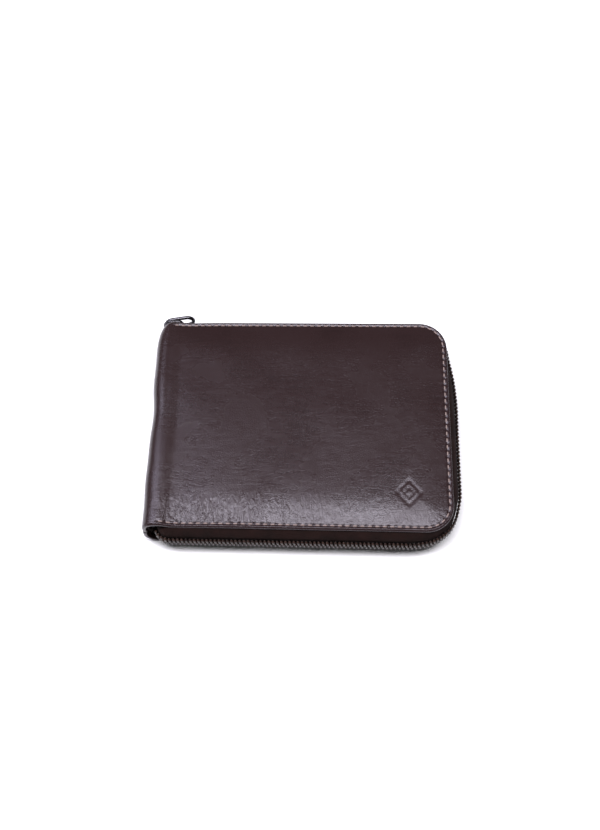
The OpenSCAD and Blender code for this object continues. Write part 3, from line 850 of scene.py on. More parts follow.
def make_tape(upper):
    """One tape: a woven strip with thickness, swept round three sides and into the fold.

    Two sine waves ripple its wall, and it narrows to its wall alone at both ends.
    """
    steps, lowest_end = 26, 4.3
    foot, out, length = zip_path(1.6)
    n, z, t = tape_line(steps)
    dn, dz = np.gradient(n), np.gradient(z)
    norm = np.hypot(dn, dz)
    on, oz = dz / norm, -dn / norm
    half = TAPE_T / 2 * 0.92
    ring_n = np.concatenate([n + on * half, (n - on * half)[::-1]])
    ring_z = np.concatenate([z + oz * half, (z - oz * half)[::-1]])
    ring_t = np.concatenate([t, t[::-1]])
    full = smooth(0, 6, length) * smooth(length[-1], length[-1] - 16, length)
    least = ((N_TAPE_OUT - TAPE_T) * (1 - full) - HEM_IN * full)[:, None]
    wave = 0.12 * np.sin(length / 5.1) + 0.08 * np.sin(length / 2.3 + 1)
    wall = smooth(0.5, 2.2, ring_n) * smooth(Z_MID - 1.5, 3.5, ring_z)
    ring = np.maximum(ring_n[None, :], least) + wave[:, None] * wall[None, :]
    raised = np.maximum(ring_z, lowest_end)
    zz = np.where(ring_n[None, :] < least - 0.01, raised[None, :], ring_z[None, :])
    points = sweep(ring, zz, foot, out, upper)
    flat = np.stack(np.broadcast_arrays(length[:, None], ring_t[None, :]), -1)
    tape = Surface().grid(points, flat, closed=True)
    for row in (0, -1):
        cap = np.stack([points[row, :steps], points[row, steps:][::-1]])
        tape.grid(cap, flip=row == 0)
    side = side_of(upper)
    finish_piece(tape, "tape_" + side, "tape", side + "_cover", "zip_tape", side + "_zip_tape",
                 weld=WELD / 2)


def at_length(length, values, want):
    """Values of a path at given lengths along it."""
    return np.stack([np.interp(want, length, values[:, i]) for i in range(values.shape[1])], -1)


def coil_turns(base, out, along, across, half_width, high, wire, lean):
    """Turns of a coil, each an arched bar of nylon that reaches a little past the chain's middle.

    base, out and along hold, for each turn and each step t from 0 at the tape to 1 at the head, the foot
    point and two directions. The bar's height follows a flattened half ellipse, and it leans along the
    chain as the coil winds.
    """
    past_middle, head_swell, head_at, head_wide = 0.22, 0.25, 0.88, 0.14
    t = np.linspace(0, 1, base.shape[1])
    v = half_width - wire - t * (half_width - wire + past_middle)
    rise = wire + (high - 2 * wire) * np.clip(1 - (2 * t - 1) ** 2, 0, 1) ** 0.5
    centre = base + out * rise[:, None] + across * v[:, None] + along * (lean * (t - 0.5))[:, None]
    tangent = np.gradient(centre, axis=1)
    tangent = tangent / np.linalg.norm(tangent, axis=-1, keepdims=True)
    normal = np.cross(tangent, along)
    normal = normal / np.linalg.norm(normal, axis=-1, keepdims=True)
    angle = np.linspace(0, math.tau, 7, endpoint=False)
    ends = np.sqrt(np.clip(1.02 - (2 * t - 1) ** 10, 0.02, 1))
    size = wire * (1 + head_swell * bell(t - head_at, head_wide)) * ends
    ring = (np.cos(angle)[None, None, :, None] * along[:, :, None, :]
            + np.sin(angle)[None, None, :, None] * normal[:, :, None, :])
    points = centre[:, :, None, :] + ring * size[None, :, None, None]
    flat = np.stack(np.broadcast_arrays(t[:, None] * 6, angle[None, :]), -1)
    return points, flat


def make_coil(upper):
    """One coil of the zip: a turn every pitch along the path, half a pitch apart on the two covers."""
    zipper = props()[1]
    pitch = zipper.tooth_pitch / MM
    first, last_gap, wire = (11.0 if upper else 1.5), 0.8, 0.56
    foot, out, length = zip_path(4.0)
    count = int((length[-1] - first - last_gap) / pitch)
    at = first + (np.arange(count) + (0.5 if upper else 0.0))[:, None] * pitch + np.zeros(COIL_STEPS)
    foot_at, out_at = (at_length(length, v, at.ravel()).reshape(*at.shape, 2) for v in (foot, out))
    out_at = out_at / np.linalg.norm(out_at, axis=-1, keepdims=True)
    level = np.zeros((*at.shape, 1))
    out_at = np.concatenate([out_at, level], -1)
    base = np.concatenate([foot_at, level + Z_MID], -1)
    base = base + out_at * (N_TAPE_OUT - tucked(foot_at))[..., None]
    along = np.concatenate([-out_at[..., 1:2], out_at[..., :1], level], -1)
    way = 1 if upper else -1
    points, flat = coil_turns(base, out_at, along, np.array([0, 0, float(way)]), zipper.chain / MM / 2,
                              N_CHAIN - N_TAPE_OUT, wire, 0.25 * pitch * way)
    side = side_of(upper)
    finish_piece(Surface().copies(points, flat), "coil_" + side, "coil", side + "_cover", "nylon_coil",
                 side + "_zip_coil", weld=FINE_WELD)


# ---- Closed shapes from outlines and paths ----

def rounded_outline(low, high, radii, step=2.5, turns=8):
    """Closed outline of a rectangle in plan, and its outward directions.

    radii are given anticlockwise, from the corner where x and y are highest.
    """
    points, out = [], []
    ends = [(high[0], high[1]), (low[0], high[1]), (low[0], low[1]), (high[0], low[1])]
    signs = np.array([(1, 1), (-1, 1), (-1, -1), (1, -1)])
    centres = [np.array(end) - sign * r for end, sign, r in zip(ends, signs, radii)]
    for k in range(4):
        following = (k + 1) % 4
        a = (k + np.linspace(0, 1, turns)) * math.pi / 2
        normal = np.stack([np.cos(a), np.sin(a)], -1)
        points.append(centres[k] + radii[k] * normal)
        out.append(normal)
        goal = centres[following] + radii[following] * normal[-1]
        count = int(np.linalg.norm(goal - points[-1][-1]) / step)
        share = (np.arange(count) + 1)[:, None] / (count + 1)
        points.append(points[-1][-1] * (1 - share) + goal * share)
        out.append(np.repeat(normal[-1:], count, 0))
    return np.concatenate(points), np.concatenate(out)


def at_height(height, plan, more=0.0):
    """A height given as a number or as a function of x and y, plus more."""
    z = height(plan[:, 0], plan[:, 1]) if callable(height) else np.full(len(plan), float(height))
    return z + more


def ringed(outline, rows):
    """Rings round an outline, one for each row of (inset, shrink to the middle, height, more height)."""
    points, out = outline
    centre = (points.max(0) + points.min(0)) / 2
    rings = []
    for inset, shrink, height, more in rows:
        plan = centre + (points - out * inset - centre) * shrink
        rings.append(np.concatenate([plan, at_height(height, plan, more)[:, None]], 1))
    return np.array(rings)


def slab(outline, low, high, edge, rings=10):
    """A slab between two heights, its edges rounded by a quarter circle of radius edge."""
    inner = np.linspace(0, 1, rings)[:-1]
    turn = [(edge * (1 - math.sin(a)), edge * (1 - math.cos(a))) for a in np.linspace(0, math.pi / 2, 5)]
    rows = [(edge, k, low, 0.0) for k in inner]
    rows += [(inset, 1.0, low, up) for inset, up in turn]
    rows += [(inset, 1.0, high, -up) for inset, up in turn[::-1]]
    return ringed(outline, rows + [(edge, k, high, 0.0) for k in inner[::-1]])


def tube(path, side, wide, thick, closed=False, power=1.0, turns=14):
    """A tube round a flat path, to which side is square.

    wide and thick are its half sizes along and across side; power below 1 makes its section squarer.
    """
    path = np.asarray(path, float)
    tangent = np.roll(path, -1, 0) - np.roll(path, 1, 0) if closed else np.gradient(path, axis=0)
    tangent = tangent / np.linalg.norm(tangent, axis=1, keepdims=True)
    other = np.cross(tangent, side)
    a = np.linspace(0, math.tau, turns, endpoint=False)
    c = np.sign(np.cos(a)) * np.abs(np.cos(a)) ** power * wide
    d = np.sign(np.sin(a)) * np.abs(np.sin(a)) ** power * thick
    side = np.asarray(side, float)
    points = path[:, None] + side * c[None, :, None] + other[:, None] * d[None, :, None]
    if closed:
        return np.concatenate([points, points[:1]])
    first, last = (np.repeat(p[None, None], turns, 1) for p in (path[0], path[-1]))
    return np.concatenate([first, points, last])


def placed(points, origin, x_way, y_way, z_way):
    """Local points turned into the wallet's frame."""
    return np.asarray(origin) + points @ np.array([x_way, y_way, z_way], float)


def finish_piece(surface, name, material, body, slot, *nodes, weld=WELD):
    """Makes the piece and lets it ride on a body in place of the CAD nodes; slot is not used."""
    obj = surface.piece(name, material, weld)
    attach(obj, body)
    if nodes:
        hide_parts(*nodes)


def closed_form(points):
    """A surface whose rows are closed rings."""
    return Surface().grid(points, closed=True)


def metal_piece(surface, name, body, node):
    """A gunmetal piece in place of one CAD node."""
    finish_piece(surface, name, "metal", body, "gunmetal", node)


# ---- Stops, slider and puller ----

def rounded_block(low, high, edge):
    """A small block with rounded edges between two corners."""
    return slab(rounded_outline(low, high, [edge * 1.3] * 4, 9, 4), low[2], high[2], edge, rings=3)


def make_zip_stops():
    """The crimped stops at the two ends of the chain."""
    shift = np.array([1.7, -TUCK - 1.6, 0])
    for node, body, move in (("back_top_stop", "back_cover", shift),
                             ("front_top_stop", "front_cover", shift),
                             ("zip_bottom_stop", "spine", 0 * shift)):
        low, high = box_mm(node)
        block = rounded_block(low + move, high + move, edge=0.35)
        metal_piece(closed_form(block), node + "_crimp", body, node)


def slider_shape(size, gap_high, plate, flange, origin, axes):
    """A slider: two domed plates, the flanges that hold the coils in, and the post between the plates.

    Its local X runs along the zip, Y across the chain and Z away from the tape; the chain and tape pass
    between heights 0 and gap_high. size is its length and width.
    """
    length, width = size
    half = np.array([length / 2, width / 2])
    outline = rounded_outline(-half, half, [width * k for k in (0.3, 0.45, 0.45, 0.3)], 1.0, 8)

    def dome(x, y):
        return gap_high + plate + 0.3 * plate * (1 - (2 * x / length) ** 2) * (1 - (2 * y / width) ** 2)

    edge = plate * 0.35
    solids = [slab(outline, -plate, 0.0, edge, rings=5),
              slab(outline, gap_high, dome, edge, rings=6)]
    for side in (-1, 1):
        low = [-length * 0.36, side * width / 2 - (flange if side > 0 else 0), plate * 0.6]
        high = [length * 0.36, side * width / 2 + (0 if side > 0 else flange), gap_high + plate * 0.2]
        solids.append(rounded_block(low, high, flange * 0.3))
    post_half, sunk = 0.14, 0.1
    solids.append(rounded_block([-length / 2 + 1, -post_half, -sunk],
                                [-length / 2 + 2, post_half, gap_high + sunk], edge=0.08))
    surface = Surface()
    for points in solids:
        surface.grid(placed(points, origin, *axes), closed=True)
    return surface


def arch(reach, height, width, thick, origin, axes):
    """The slider's bridge: a strap that stands on two feet and turns in a half circle over the pin."""
    r = reach - thick
    a = np.linspace(math.pi, 0, 17)
    leg = np.linspace(-0.2, 1, 5)[:-1] * height
    path = np.concatenate([
        np.stack([np.full(4, -r), np.zeros(4), leg], -1),
        np.stack([r * np.cos(a), np.zeros(17), height + r * np.sin(a)], -1),
        np.stack([np.full(4, r), np.zeros(4), leg[::-1]], -1)])
    return placed(tube(path, (0, 1, 0), width / 2, thick, power=0.6), origin, *axes)


def make_zip_slider():
    """The zip's slider and its bridge."""
    plate = flange = 1.0
    low, high = box_mm("zip_slider_body")
    size = high - low
    surface = slider_shape((size[0], size[2]), size[1] - 2 * plate, plate, flange,
                           ((low[0] + high[0]) / 2, low[1] + plate - TUCK, Z_MID), ZIP_AXES)
    metal_piece(surface, "slider", "zip_slider", "zip_slider_body")
    low, high = box_mm("zip_slider_bridge")
    strap = arch((high[0] - low[0]) / 2, PIN[1] - low[1], high[2] - low[2], 0.28,
                 (PIN[0], low[1] - TUCK, Z_MID), ZIP_AXES)
    metal_piece(closed_form(strap), "slider_bridge", "zip_slider", "zip_slider_bridge")


def teardrop(pin_half, reach, ring_r, steps):
    """Closed middle line of the puller: the pin, two spreading arms and a round end, corners smoothed.

    The arms leave the pin's ends and meet the round end of radius ring_r, centred reach from the pin,
    along its tangents.
    """
    spread = math.asin(ring_r / math.hypot(reach, pin_half)) - math.atan2(pin_half, reach)
    a = np.linspace(-math.pi / 2 - spread, math.pi / 2 + spread, 60)
    ring = np.stack([reach + ring_r * np.cos(a), ring_r * np.sin(a)], -1)
    corners = np.concatenate([[[0, -pin_half]], ring, [[0, pin_half], [0, -pin_half]]])
    length = run_length(corners)
    even = np.linspace(0, length[-1], steps, endpoint=False)
    line = at_length(length, corners, even)
    kernel = np.hanning(9) / np.hanning(9).sum()
    wrapped = np.concatenate([line[-4:], line, line[:4]])
    return np.stack([np.convolve(wrapped[:, i], kernel, "valid") for i in range(2)], -1)


def make_zip_puller():
    """The puller: a teardrop loop of round wire, hanging a few degrees out from the slider."""
    zipper = props()[1]
    longer, pin_share, pin_thinner = 0.9, 0.7, 0.16
    low, high = box_mm("zip_puller")
    wire = zipper.wire / MM / 2
    ring_r = (high[2] - low[2]) / 2 - wire
    line = teardrop(pin_share * ring_r, high[0] - PIN[0] - ring_r - wire + longer, ring_r, 110)
    path = np.concatenate([line, np.zeros((len(line), 1))], 1)
    loop = tube(path, (0, 0, 1), wire, wire, closed=True, turns=16)
    near_pin = smooth(1.6, 0.3, np.abs(loop[..., 0]))[..., None]
    middle = np.concatenate([path, path[:1]])[:, None]
    loop = middle + (loop - middle) * (1 - pin_thinner * near_pin)
    tilt = math.radians(zipper.puller_tilt)
    axes = ((math.cos(tilt), math.sin(tilt), 0), (0, 0, -1), (-math.sin(tilt), math.cos(tilt), 0))
    loop = placed(loop, PIN - np.array([0, TUCK, 0]), *axes)
    metal_piece(closed_form(loop), "puller", "zip_puller", "zip_puller")


# ---- Padding, lining and note divider ----

def cover_outline(x_from, inset, left_r):
    """Outline of an inner layer of a cover, set back from the three zipped edges."""
    r = CORNER_R - inset
    return rounded_outline((x_from, -Y_EDGE + inset), (X_EDGE - inset, Y_EDGE - inset),
                           [r, left_r, left_r, r], turns=10)


def layered(front, z):
    """A height in the back half, or its mirror in the front half, which follows the crown."""
    if front:
        return lambda x, y: T - z + crown(x, y, True)
    return lambda x, y: np.full(np.shape(x), float(z))


def between(front, z_low, z_high):
    """The lower and upper faces of a layer given by its heights in the back half."""
    heights = (z_high, z_low) if front else (z_low, z_high)
    return [layered(front, z) for z in heights]


def make_padding():
    """The boards that pad the covers."""
    low, high = box_mm("back_padding")
    outline = cover_outline(low[0], Y_EDGE - high[1], 0.5)
    for front in (False, True):
        side = side_of(front)
        board = slab(outline, *between(front, low[2] + 0.05, high[2] - 0.02), edge=0.3)
        finish_piece(closed_form(board), "padding_" + side, "board", side + "_cover", "padding_board",
                     side + "_padding")


def bent_sheet(front, inset, drops, thickness, s_end, notch):
    """A thin sheet that lines a cover and half of the spine, closed round its edges.

    drops are its depths under the outer face, at the spine and on the flat; notch shortens its front end
    near the fold, to leave room for the end of the chain.
    """
    s = np.concatenate([stepped((0, 0.8), (S_FLAT, 0.8), (S_FLAT + 8, 2.2), (s_end - CORNER_R, 2)),
                        s_end - CORNER_R + CORNER_R * np.sin(np.linspace(0.1, math.pi / 2, 12))])
    v = np.linspace(-1, 1, 45)
    ss, vv = np.meshgrid(s, v, indexing="ij")
    px = cover_profile(ss)[0]
    r = CORNER_R - inset
    half = Y_EDGE - CORNER_R + np.sqrt(np.maximum(r ** 2 - np.maximum(px - X_CORNER, 0) ** 2, 0.01))
    y = vv * half
    y = y + (1 - vv) / 2 * notch * smooth(S_FLAT + 9, S_FLAT, ss)
    drop = drops[0] + (drops[1] - drops[0]) * smooth(S_FLAT - 2, S_FLAT + 2.5, ss)
    outer, inner = (layer_face(front, ss, y, drop + d) for d in (0, thickness))
    flat = np.stack([ss, y], -1)
    sheet = Surface().grid(outer, flat).grid(inner, flat, flip=True)
    for edge in ((slice(None), 0), (slice(None), -1), (0, slice(None)), (-1, slice(None))):
        sheet.grid(np.stack([outer[edge], inner[edge]]), np.stack([flat[edge]] * 2))
    area = float(np.sum(np.linalg.norm(np.cross(outer[1:, 1:] - outer[:-1, :-1],
                                                outer[1:, :-1] - outer[:-1, 1:]), axis=-1)) / 2)
    return sheet, (s_end * MM, 2 * (Y_EDGE - inset) * MM), area * MM ** 2


def fold_blend(obj):
    """Bakes a piece's placement into its mesh."""
    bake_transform(obj)


def make_sheets(kind, inset, drops, thickness, notch):
    """The two halves of a cloth sheet that runs through both covers and the spine."""
    for front in (False, True):
        side = side_of(front)
        s_end = S_FLAT + X_EDGE - inset - X_FLAT
        sheet, flat, area = bent_sheet(front, inset, drops, thickness, s_end, notch)
        obj = sheet.piece(f"{kind}_{side}", "lining")
        fold_blend(obj)
        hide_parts(f"{side}_{kind}", f"spine_{kind}")
        min(area, flat[0] * flat[1])


# ---- Inner panels and pockets ----

def seam(front, places, z, name):
    """A row of inner stitches on a face at height z, given in the back half."""
    radius, lift = 0.22, 0.08
    height = layered(front, z)
    points, flat = thread_grid(places, radius, STITCH_SHARE, lift,
                               lambda x, y: np.stack([x, y, height(x, y)], -1), -1 if front else 1)
    finish_piece(Surface().copies(points, flat), name, "dark_thread", side_of(front) + "_cover",
                 "beige_thread", weld=FINE_WELD)


def seam_rows(*ends, pitch=2.6):
    """Stitch places in straight rows, each given by its two ends (x0, y0, x1, y1)."""
    rows = []
    for x0, y0, x1, y1 in ends:
        length = math.hypot(x1 - x0, y1 - y0)
        n = stitch_count(length, pitch)
        t = (np.arange(n) + 0.5) / n
        rows.append(np.stack(np.broadcast_arrays(
            x0 + t * (x1 - x0), y0 + t * (y1 - y0), math.atan2(y1 - y0, x1 - x0), length / n), -1))
    return np.concatenate(rows)


def make_inner_panels():
    """The leather panels inside both covers, with a seam along their fold side."""
    low, high = box_mm("back_inner_panel")
    outline = cover_outline(low[0], Y_EDGE - high[1], 1.0)
    x_seam = low[0] + 1.6
    for front in (False, True):
        side = side_of(front)
        panel = slab(outline, *between(front, low[2], high[2]), edge=0.32, rings=16)
        finish_piece(closed_form(panel), "inner_panel_" + side, "panel", side + "_cover",
                     "inner_leather", side + "_inner_panel")
        seam(front, seam_rows((x_seam, low[1] + 2, x_seam, high[1] - 2)), high[2], "inner_seam_" + side)


def card_pocket_faces(low, high):
    """Lower and upper faces of a card pocket: it stands off for the cards, and its lip dips."""
    room, lip_dip = 0.35, 0.12
    z_low, z_high = T - high[2], T - low[2]

    def under(x, y):
        to_edge = np.minimum(np.minimum(x - low[0], high[0] - x), y - low[1])
        return T - (z_low + room * smooth(0.5, 5, to_edge)) + crown(x, y, True)

    def over(x, y):
        return T - z_high + crown(x, y, True) - lip_dip * smooth(5, 0, high[1] - y)

    return over, under


def make_card_pockets():
    """Three stepped card pockets: leather skins, sewn down at their sides and foot, open at the top."""
    for i in (1, 2, 3):
        node = f"card_pocket_{i}"
        low, high = box_mm(node)
        outline = rounded_outline(low, high, [1.2, 1.2, 0.8, 0.8], turns=6)
        skin = slab(outline, *card_pocket_faces(low, high), edge=0.26, rings=14)
        finish_piece(closed_form(skin), f"card_pocket_skin_{i}", "panel", "front_cover",
                     "inner_leather", node)
        y_fold = high[1] - 2.2
        seam(True, seam_rows((low[0] + 3, y_fold, high[0] - 3, y_fold)), T - low[2] + 0.02,
             f"card_pocket_seam_{i}")
    left, right, foot = low[0] + 1.4, high[0] - 1.4, low[1] + 1.6
    sides = seam_rows((left, foot, left, high[1] - 4), (right, foot, right, high[1] - 4),
                      (low[0] + 3, low[1] + 1.4, high[0] - 3, low[1] + 1.4))
    seam(True, sides, T - low[2], "card_pocket_side_seams")


def puffed(low, high):
    """Upper face of a soft panel between two corners, puffed up away from its sewn edges."""
    def height(x, y):
        to_edge = np.minimum(np.minimum(x - low[0], high[0] - x), np.minimum(y - low[1], high[1] - y))
        return high[2] + 0.25 * smooth(1, 12, to_edge) + 0.04 * soft_noise(x, y, 14, 31)

    return height


# ---- Coin pocket ----

def make_coin_pocket():
    """The coin pocket's cloth bag and the two leather panels over it, either side of its zip."""
    low, high = box_mm("coin_pocket_bag")
    outline = rounded_outline(low, high, [2] * 4, turns=6)
    bottom, floor, top, wall = low[2], low[2] + 0.2, high[2] - 0.02, 1.1
    inwards = np.linspace(0, 1, 8)[:-1]
    rows = [(0.3, k, bottom, 0.0) for k in inwards]
    rows += [(0.3, 1, bottom, 0), (0.08, 1, bottom, 0.1), (0, 1, bottom, 0.3), (0, 1, top, -0.3),
             (0.1, 1, top, -0.08), (0.3, 1, top, 0), (wall - 0.2, 1, top, 0), (wall, 1, top, -0.2),
             (wall, 1, floor, 0.3), (wall + 0.3, 1, floor, 0)]
    rows += [(wall + 0.3, k, floor, 0.0) for k in inwards[::-1]]
    finish_piece(closed_form(ringed(outline, rows)), "coin_bag", "lining", "back_cover", "lining_cloth",
                 "coin_pocket_bag")
    for name in ("upper", "lower"):
        upper = name == "upper"
        low, high = box_mm("coin_panel_" + name)
        radii = [1.2, 1.2, 0.5, 0.5] if upper else [0.5, 0.5, 1.2, 1.2]
        outline = rounded_outline(low, high, radii, turns=6)
        panel = slab(outline, low[2], puffed(low, high), edge=0.3, rings=14)
        finish_piece(closed_form(panel), "coin_panel_skin_" + name, "panel", "back_cover",
                     "inner_leather", "coin_panel_" + name)
        y_zip = low[1] + 1.3 if upper else high[1] - 1.3
        y_far = high[1] - 1.4 if upper else low[1] + 1.4
        left, right, foot, head = low[0] + 1.4, high[0] - 1.4, low[1] + 2.4, high[1] - 2.4
        start, end = low[0] + 2, high[0] - 2
        rows = seam_rows((start, y_zip, end, y_zip), (start, y_far, end, y_far),
                         (left, foot, left, head), (right, foot, right, head))
        seam(False, rows, high[2] + 0.03, "coin_panel_seam_" + name)


def make_coin_zip():
    """The coin zip's two tapes, its two coils and its four stops."""
    pitch = props()[1].tooth_pitch / MM
    half_gap, wire = 0.4, 0.3
    tapes, coils, stops = Surface(), Surface(), Surface()
    low, high = box_mm("coin_zip_tape")
    y_mid = (low[1] + high[1]) / 2
    for side in (-1, 1):
        y = sorted((y_mid + side * half_gap, high[1] if side > 0 else low[1]))
        outline = rounded_outline((low[0], y[0]), (high[0], y[1]), [0.3] * 4, turns=3)
        tapes.grid(slab(outline, low[2], high[2], edge=0.12, rings=4), closed=True)
    finish_piece(tapes, "coin_tapes", "tape", "back_cover", "zip_tape", "coin_zip_tape")
    low, high = box_mm("coin_zip_coil")
    count = int((high[0] - low[0]) / pitch) - 1
    for side in (-1, 1):
        x = low[0] + (np.arange(count) + (0.5 if side > 0 else 1.0)) * pitch
        base = np.stack(np.broadcast_arrays(x[:, None] + np.zeros(COIL_STEPS), y_mid, low[2]), -1)
        out, along = (np.broadcast_to(way, base.shape) for way in ([0, 0, 1.0], [1.0, 0, 0]))
        coils.copies(*coil_turns(base, out, along, np.array([0, float(side), 0]), (high[1] - low[1]) / 2,
                                 high[2] - low[2], wire, 0.45 * pitch * side))
    finish_piece(coils, "coin_coils", "coil", "back_cover", "nylon_coil", "coin_zip_coil",
                 weld=FINE_WELD)
    low, high = box_mm("coin_zip_stops")
    long, wide = 1.2, 1.4
    for x in ((low[0], low[0] + long), (high[0] - long, high[0])):
        for y in ((low[1], low[1] + wide), (high[1] - wide, high[1])):
            stops.grid(rounded_block([x[0], y[0], low[2]], [x[1], y[1], high[2]], edge=0.25),
                       closed=True)
    metal_piece(stops, "coin_stops", "back_cover", "coin_zip_stops")


def make_coin_slider():
    """The coin zip's slider, its bridge, and its flat tab with an eye."""
    axes = ((1, 0, 0), (0, 1, 0), (0, 0, 1))
    plate = flange = 0.6
    low, high = box_mm("coin_slider_body")
    size, middle = high - low, (low + high) / 2
    surface = slider_shape((size[0], size[1]), size[2] - 2 * plate, plate, flange,
                           (middle[0], middle[1], low[2] + plate), axes)
    metal_piece(surface, "coin_slider_shell", "coin_slider", "coin_slider_body")
    low, high = box_mm("coin_slider_bridge")
    tab_low, tab_high = box_mm("coin_puller")
    pin_z = (tab_low[2] + tab_high[2]) / 2
    x_pin = (low[0] + high[0]) / 2
    strap = arch((high[0] - low[0]) / 2, pin_z - low[2], high[1] - low[1], 0.19,
                 (x_pin, (low[1] + high[1]) / 2, low[2]), axes)
    metal_piece(closed_form(strap), "coin_slider_arch", "coin_slider", "coin_slider_bridge")
    make_tab(tab_low, tab_high, x_pin)


def make_tab(low, high, x_pin):
    """The coin puller: a frame of flat strip round a window for the bridge, and a tongue beyond it."""
    half_thick, steps = 0.24, 48
    y, z = (low[1] + high[1]) / 2, (low[2] + high[2]) / 2
    half = (high[1] - low[1]) / 2
    window = x_pin + 1.6
    a = np.linspace(0, math.tau, steps, endpoint=False)
    ring = np.stack([np.cos(a), np.sin(a)], -1)
    oval = np.sign(ring) * np.abs(ring) ** 0.6
    centre = np.array([(x_pin - 0.02 + window) / 2, y])
    path = centre + oval * np.array([(window - x_pin) / 2 + 0.1, half - 0.62])
    path = np.concatenate([path, np.full((steps, 1), z)], 1)
    loop = tube(path, (0, 0, 1), half_thick, 0.5, closed=True, power=0.6)
    loop[..., 0] = np.maximum(loop[..., 0], x_pin - 0.26)
    outline = rounded_outline((window + 0.15, low[1] + 0.2), (high[0], high[1] - 0.2),
                              [1.5, 0.5, 0.5, 1.5], 1.0)
    tongue = slab(outline, z - half_thick, z + half_thick, edge=0.14, rings=5)
    metal_piece(closed_form(loop).grid(tongue, closed=True), "coin_tab", "coin_slider", "coin_puller")


# ---- Stage ----

def aimed(obj, target):
    """Turns a light or camera towards a point in metres."""
    way = Vector(target) - obj.location
    obj.rotation_euler = way.to_track_quat("-Z", "Y").to_euler()


def in_scene(name, data):
    """A new object in the scene."""
    obj = bpy.data.objects.new(name, data)
    bpy.context.scene.collection.objects.link(obj)
    return obj


def softbox(name, place, size, power, tint):
    """A large rectangular studio light, aimed at the wallet."""
    data = bpy.data.lights.new(name, "AREA")
    data.shape = "RECTANGLE"
    data.size, data.size_y = size
    data.energy = power
    data.color = to_linear(tint)[:3]
    obj = in_scene(name, data)
    obj.location = place
    aimed(obj, (0, 0, 0))


def paper():
    """Matt white paper: even, with a faint fibre."""
    m, t, shader = new_material("matt_white_paper")
    fibre = add(t, "TexNoise", Vector=add(t, "TexCoord").outputs["Object"], Scale=900.0)
    t.links.new(ramp(t, fibre.outputs["Fac"], (0.0, grey(0.9)), (1.0, grey(0.94))),
                shader.inputs["Base Color"])
    uniform(shader, Roughness=0.9)
    return m


def make_stage():
    """White floor, an overhead softbox, a weak side light, and the camera."""
    reach, room_light = 3.0, 0.1
    floor_mesh = bpy.data.meshes.new("floor")
    corners = [(x * reach, y * reach, 0) for x, y in ((-1, -1), (1, -1), (1, 1), (-1, 1))]
    floor_mesh.from_pydata(corners, [], [(0, 1, 2, 3)])
    floor_mesh.materials.append(paper())
    in_scene("floor", floor_mesh)
    scene = bpy.context.scene
    scene.world = bpy.data.worlds.new("white_room")
    scene.world.use_nodes = True
    background = scene.world.node_tree.nodes["Background"]
    background.inputs["Color"].default_value = (1, 1, 1, 1)
    background.inputs["Strength"].default_value = room_light
    softbox("overhead_softbox", place=(0.0, -0.04, 1.0), size=(1.1, 0.33), power=18, tint="#fbf9ff")
    softbox("left_softbox", place=(-0.6, 0.22, 0.86), size=(0.4, 0.6), power=5.5, tint="#f1eeff")
    camera_data = bpy.data.cameras.new("camera")
    camera_data.sensor_width = 36
    camera_data.lens = 52.0481928
    camera = in_scene("camera", camera_data)
    elevation, turn, distance = math.radians(63), math.radians(0.81), 0.498
    aim = np.array([0.00004, 0.0113, 0.0])
    back = np.array([math.sin(turn) * math.cos(elevation), -math.cos(turn) * math.cos(elevation),
                     math.sin(elevation)])
    camera.location = aim + back * distance
    aimed(camera, aim)
    scene.camera = camera
    scene.view_settings.view_transform = "Standard"


# ---- Operators ----

DONE = {"FINISHED"}


class WALLET_OT_stage(bpy.types.Operator):
    """Makes the floor, the soft lights and the camera."""

    bl_idname = "wallet.stage"
    bl_label = "Stage"

    def execute(self, context):
        make_stage()
        return DONE


class WALLET_OT_outer_leather(bpy.types.Operator):
    """Makes the hide in two halves that meet along the middle of the spine."""

    bl_idname = "wallet.outer_leather"
    bl_label = "Outer leather"

    def execute(self, context):
        for front in (True, False):
            make_cover_leather(front)
        return DONE


class WALLET_OT_stitching(bpy.types.Operator):
    """Makes the threads along the covers' edges."""

    bl_idname = "wallet.stitching"
    bl_label = "Stitching"

    def execute(self, context):
        for front in (True, False):
            make_stitching(front)
        return DONE


class WALLET_OT_tapes(bpy.types.Operator):
    """Makes the zip's two tapes."""

    bl_idname = "wallet.tapes"
    bl_label = "Zip tapes"

    def execute(self, context):
        for front in (False, True):
            make_tape(front)
        return DONE


class WALLET_OT_coils(bpy.types.Operator):
    """Makes the zip's two coils."""

    bl_idname = "wallet.coils"
    bl_label = "Zip coils"

    def execute(self, context):
        for front in (False, True):
            make_coil(front)
        return DONE


class WALLET_OT_stops(bpy.types.Operator):
    """Makes the stops at the zip's ends."""

    bl_idname = "wallet.stops"
    bl_label = "Zip stops"

    def execute(self, context):
        make_zip_stops()
        return DONE


class WALLET_OT_slider(bpy.types.Operator):
    """Makes the slider and its bridge."""

    bl_idname = "wallet.slider"
    bl_label = "Zip slider"

    def execute(self, context):
        make_zip_slider()
        return DONE


class WALLET_OT_puller(bpy.types.Operator):
    """Makes the wire puller."""

    bl_idname = "wallet.puller"
    bl_label = "Zip puller"

    def execute(self, context):
        make_zip_puller()
        return DONE


class WALLET_OT_padding(bpy.types.Operator):
    """Makes the boards under the hide."""

    bl_idname = "wallet.padding"
    bl_label = "Padding"

    def execute(self, context):
        make_padding()
        return DONE


class WALLET_OT_lining(bpy.types.Operator):
    """Makes the lining cloth."""

    bl_idname = "wallet.lining"
    bl_label = "Lining"

    def execute(self, context):
        make_sheets("lining", inset=2.5, drops=(1.35, 2.34), thickness=0.26, notch=0.0)
        return DONE


class WALLET_OT_divider(bpy.types.Operator):
    """Makes the note divider."""

    bl_idname = "wallet.divider"
    bl_label = "Note divider"

    def execute(self, context):
        make_sheets("note_divider", inset=3.0, drops=(1.9, 2.88), thickness=0.34, notch=4.8)
        return DONE


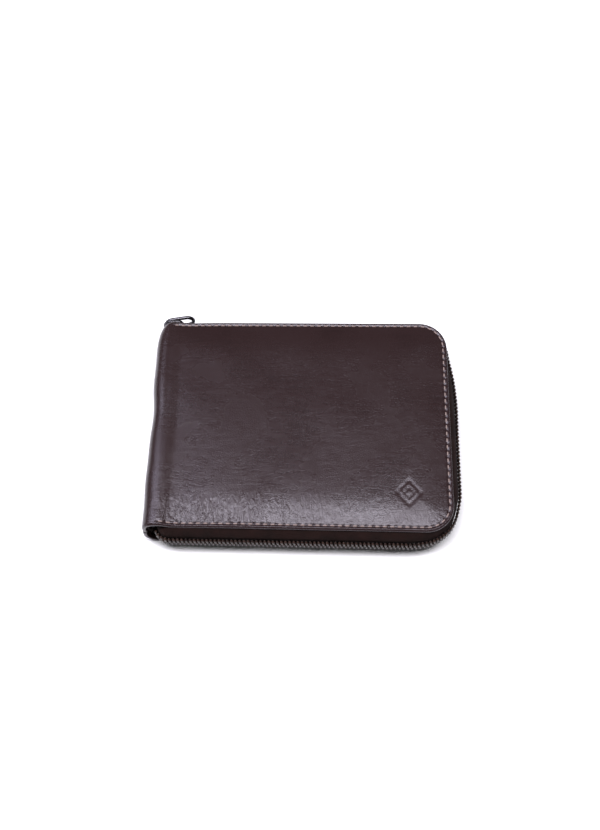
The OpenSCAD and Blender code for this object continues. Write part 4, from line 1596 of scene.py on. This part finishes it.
class WALLET_OT_panels(bpy.types.Operator):
    """Makes the leather panels inside the covers."""

    bl_idname = "wallet.panels"
    bl_label = "Inner panels"

    def execute(self, context):
        make_inner_panels()
        return DONE


class WALLET_OT_card_pockets(bpy.types.Operator):
    """Makes the three card pockets."""

    bl_idname = "wallet.card_pockets"
    bl_label = "Card pockets"

    def execute(self, context):
        make_card_pockets()
        return DONE


class WALLET_OT_coin_pocket(bpy.types.Operator):
    """Makes the coin pocket's bag and panels."""

    bl_idname = "wallet.coin_pocket"
    bl_label = "Coin pocket"

    def execute(self, context):
        make_coin_pocket()
        return DONE


class WALLET_OT_coin_zip(bpy.types.Operator):
    """Makes the coin pocket's zip."""

    bl_idname = "wallet.coin_zip"
    bl_label = "Coin zip"

    def execute(self, context):
        make_coin_zip()
        return DONE


class WALLET_OT_coin_slider(bpy.types.Operator):
    """Makes the coin zip's slider and tab."""

    bl_idname = "wallet.coin_slider"
    bl_label = "Coin slider"

    def execute(self, context):
        make_coin_slider()
        return DONE


class WALLET_PT_panel(bpy.types.Panel):
    """Lists the wallet's pieces and their sizes."""

    bl_label = "Wallet"
    bl_space_type = "VIEW_3D"
    bl_region_type = "UI"
    bl_category = "Wallet"

    def draw(self, context):
        for group in props():
            for name in group.__annotations__:
                self.layout.prop(group, name)
        for operator in OPERATORS:
            self.layout.operator(operator.bl_idname)


GROUPS = {"wallet_leather": WalletLeather, "wallet_zip": WalletZip, "wallet_inside": WalletInside}
OPERATORS = (
    WALLET_OT_stage, WALLET_OT_outer_leather, WALLET_OT_stitching, WALLET_OT_tapes, WALLET_OT_coils,
    WALLET_OT_stops, WALLET_OT_slider, WALLET_OT_puller, WALLET_OT_padding, WALLET_OT_lining,
    WALLET_OT_divider, WALLET_OT_panels, WALLET_OT_card_pockets, WALLET_OT_coin_pocket,
    WALLET_OT_coin_zip, WALLET_OT_coin_slider,
)


def register():
    """Registers the property groups, operators and panel."""
    for name, group in GROUPS.items():
        bpy.utils.register_class(group)
        setattr(bpy.types.Scene, name, bpy.props.PointerProperty(type=group))
    for item in (*OPERATORS, WALLET_PT_panel):
        bpy.utils.register_class(item)


def unregister():
    """Undoes register."""
    for item in (WALLET_PT_panel, *reversed(OPERATORS)):
        bpy.utils.unregister_class(item)
    for name, group in GROUPS.items():
        delattr(bpy.types.Scene, name)
        bpy.utils.unregister_class(group)


def main():
    """Makes the whole wallet."""
    register()
    make_materials()
    for operator in OPERATORS:
        group, name = operator.bl_idname.split(".")
        getattr(getattr(bpy.ops, group), name)()


if __name__ == "__main__":
    main()
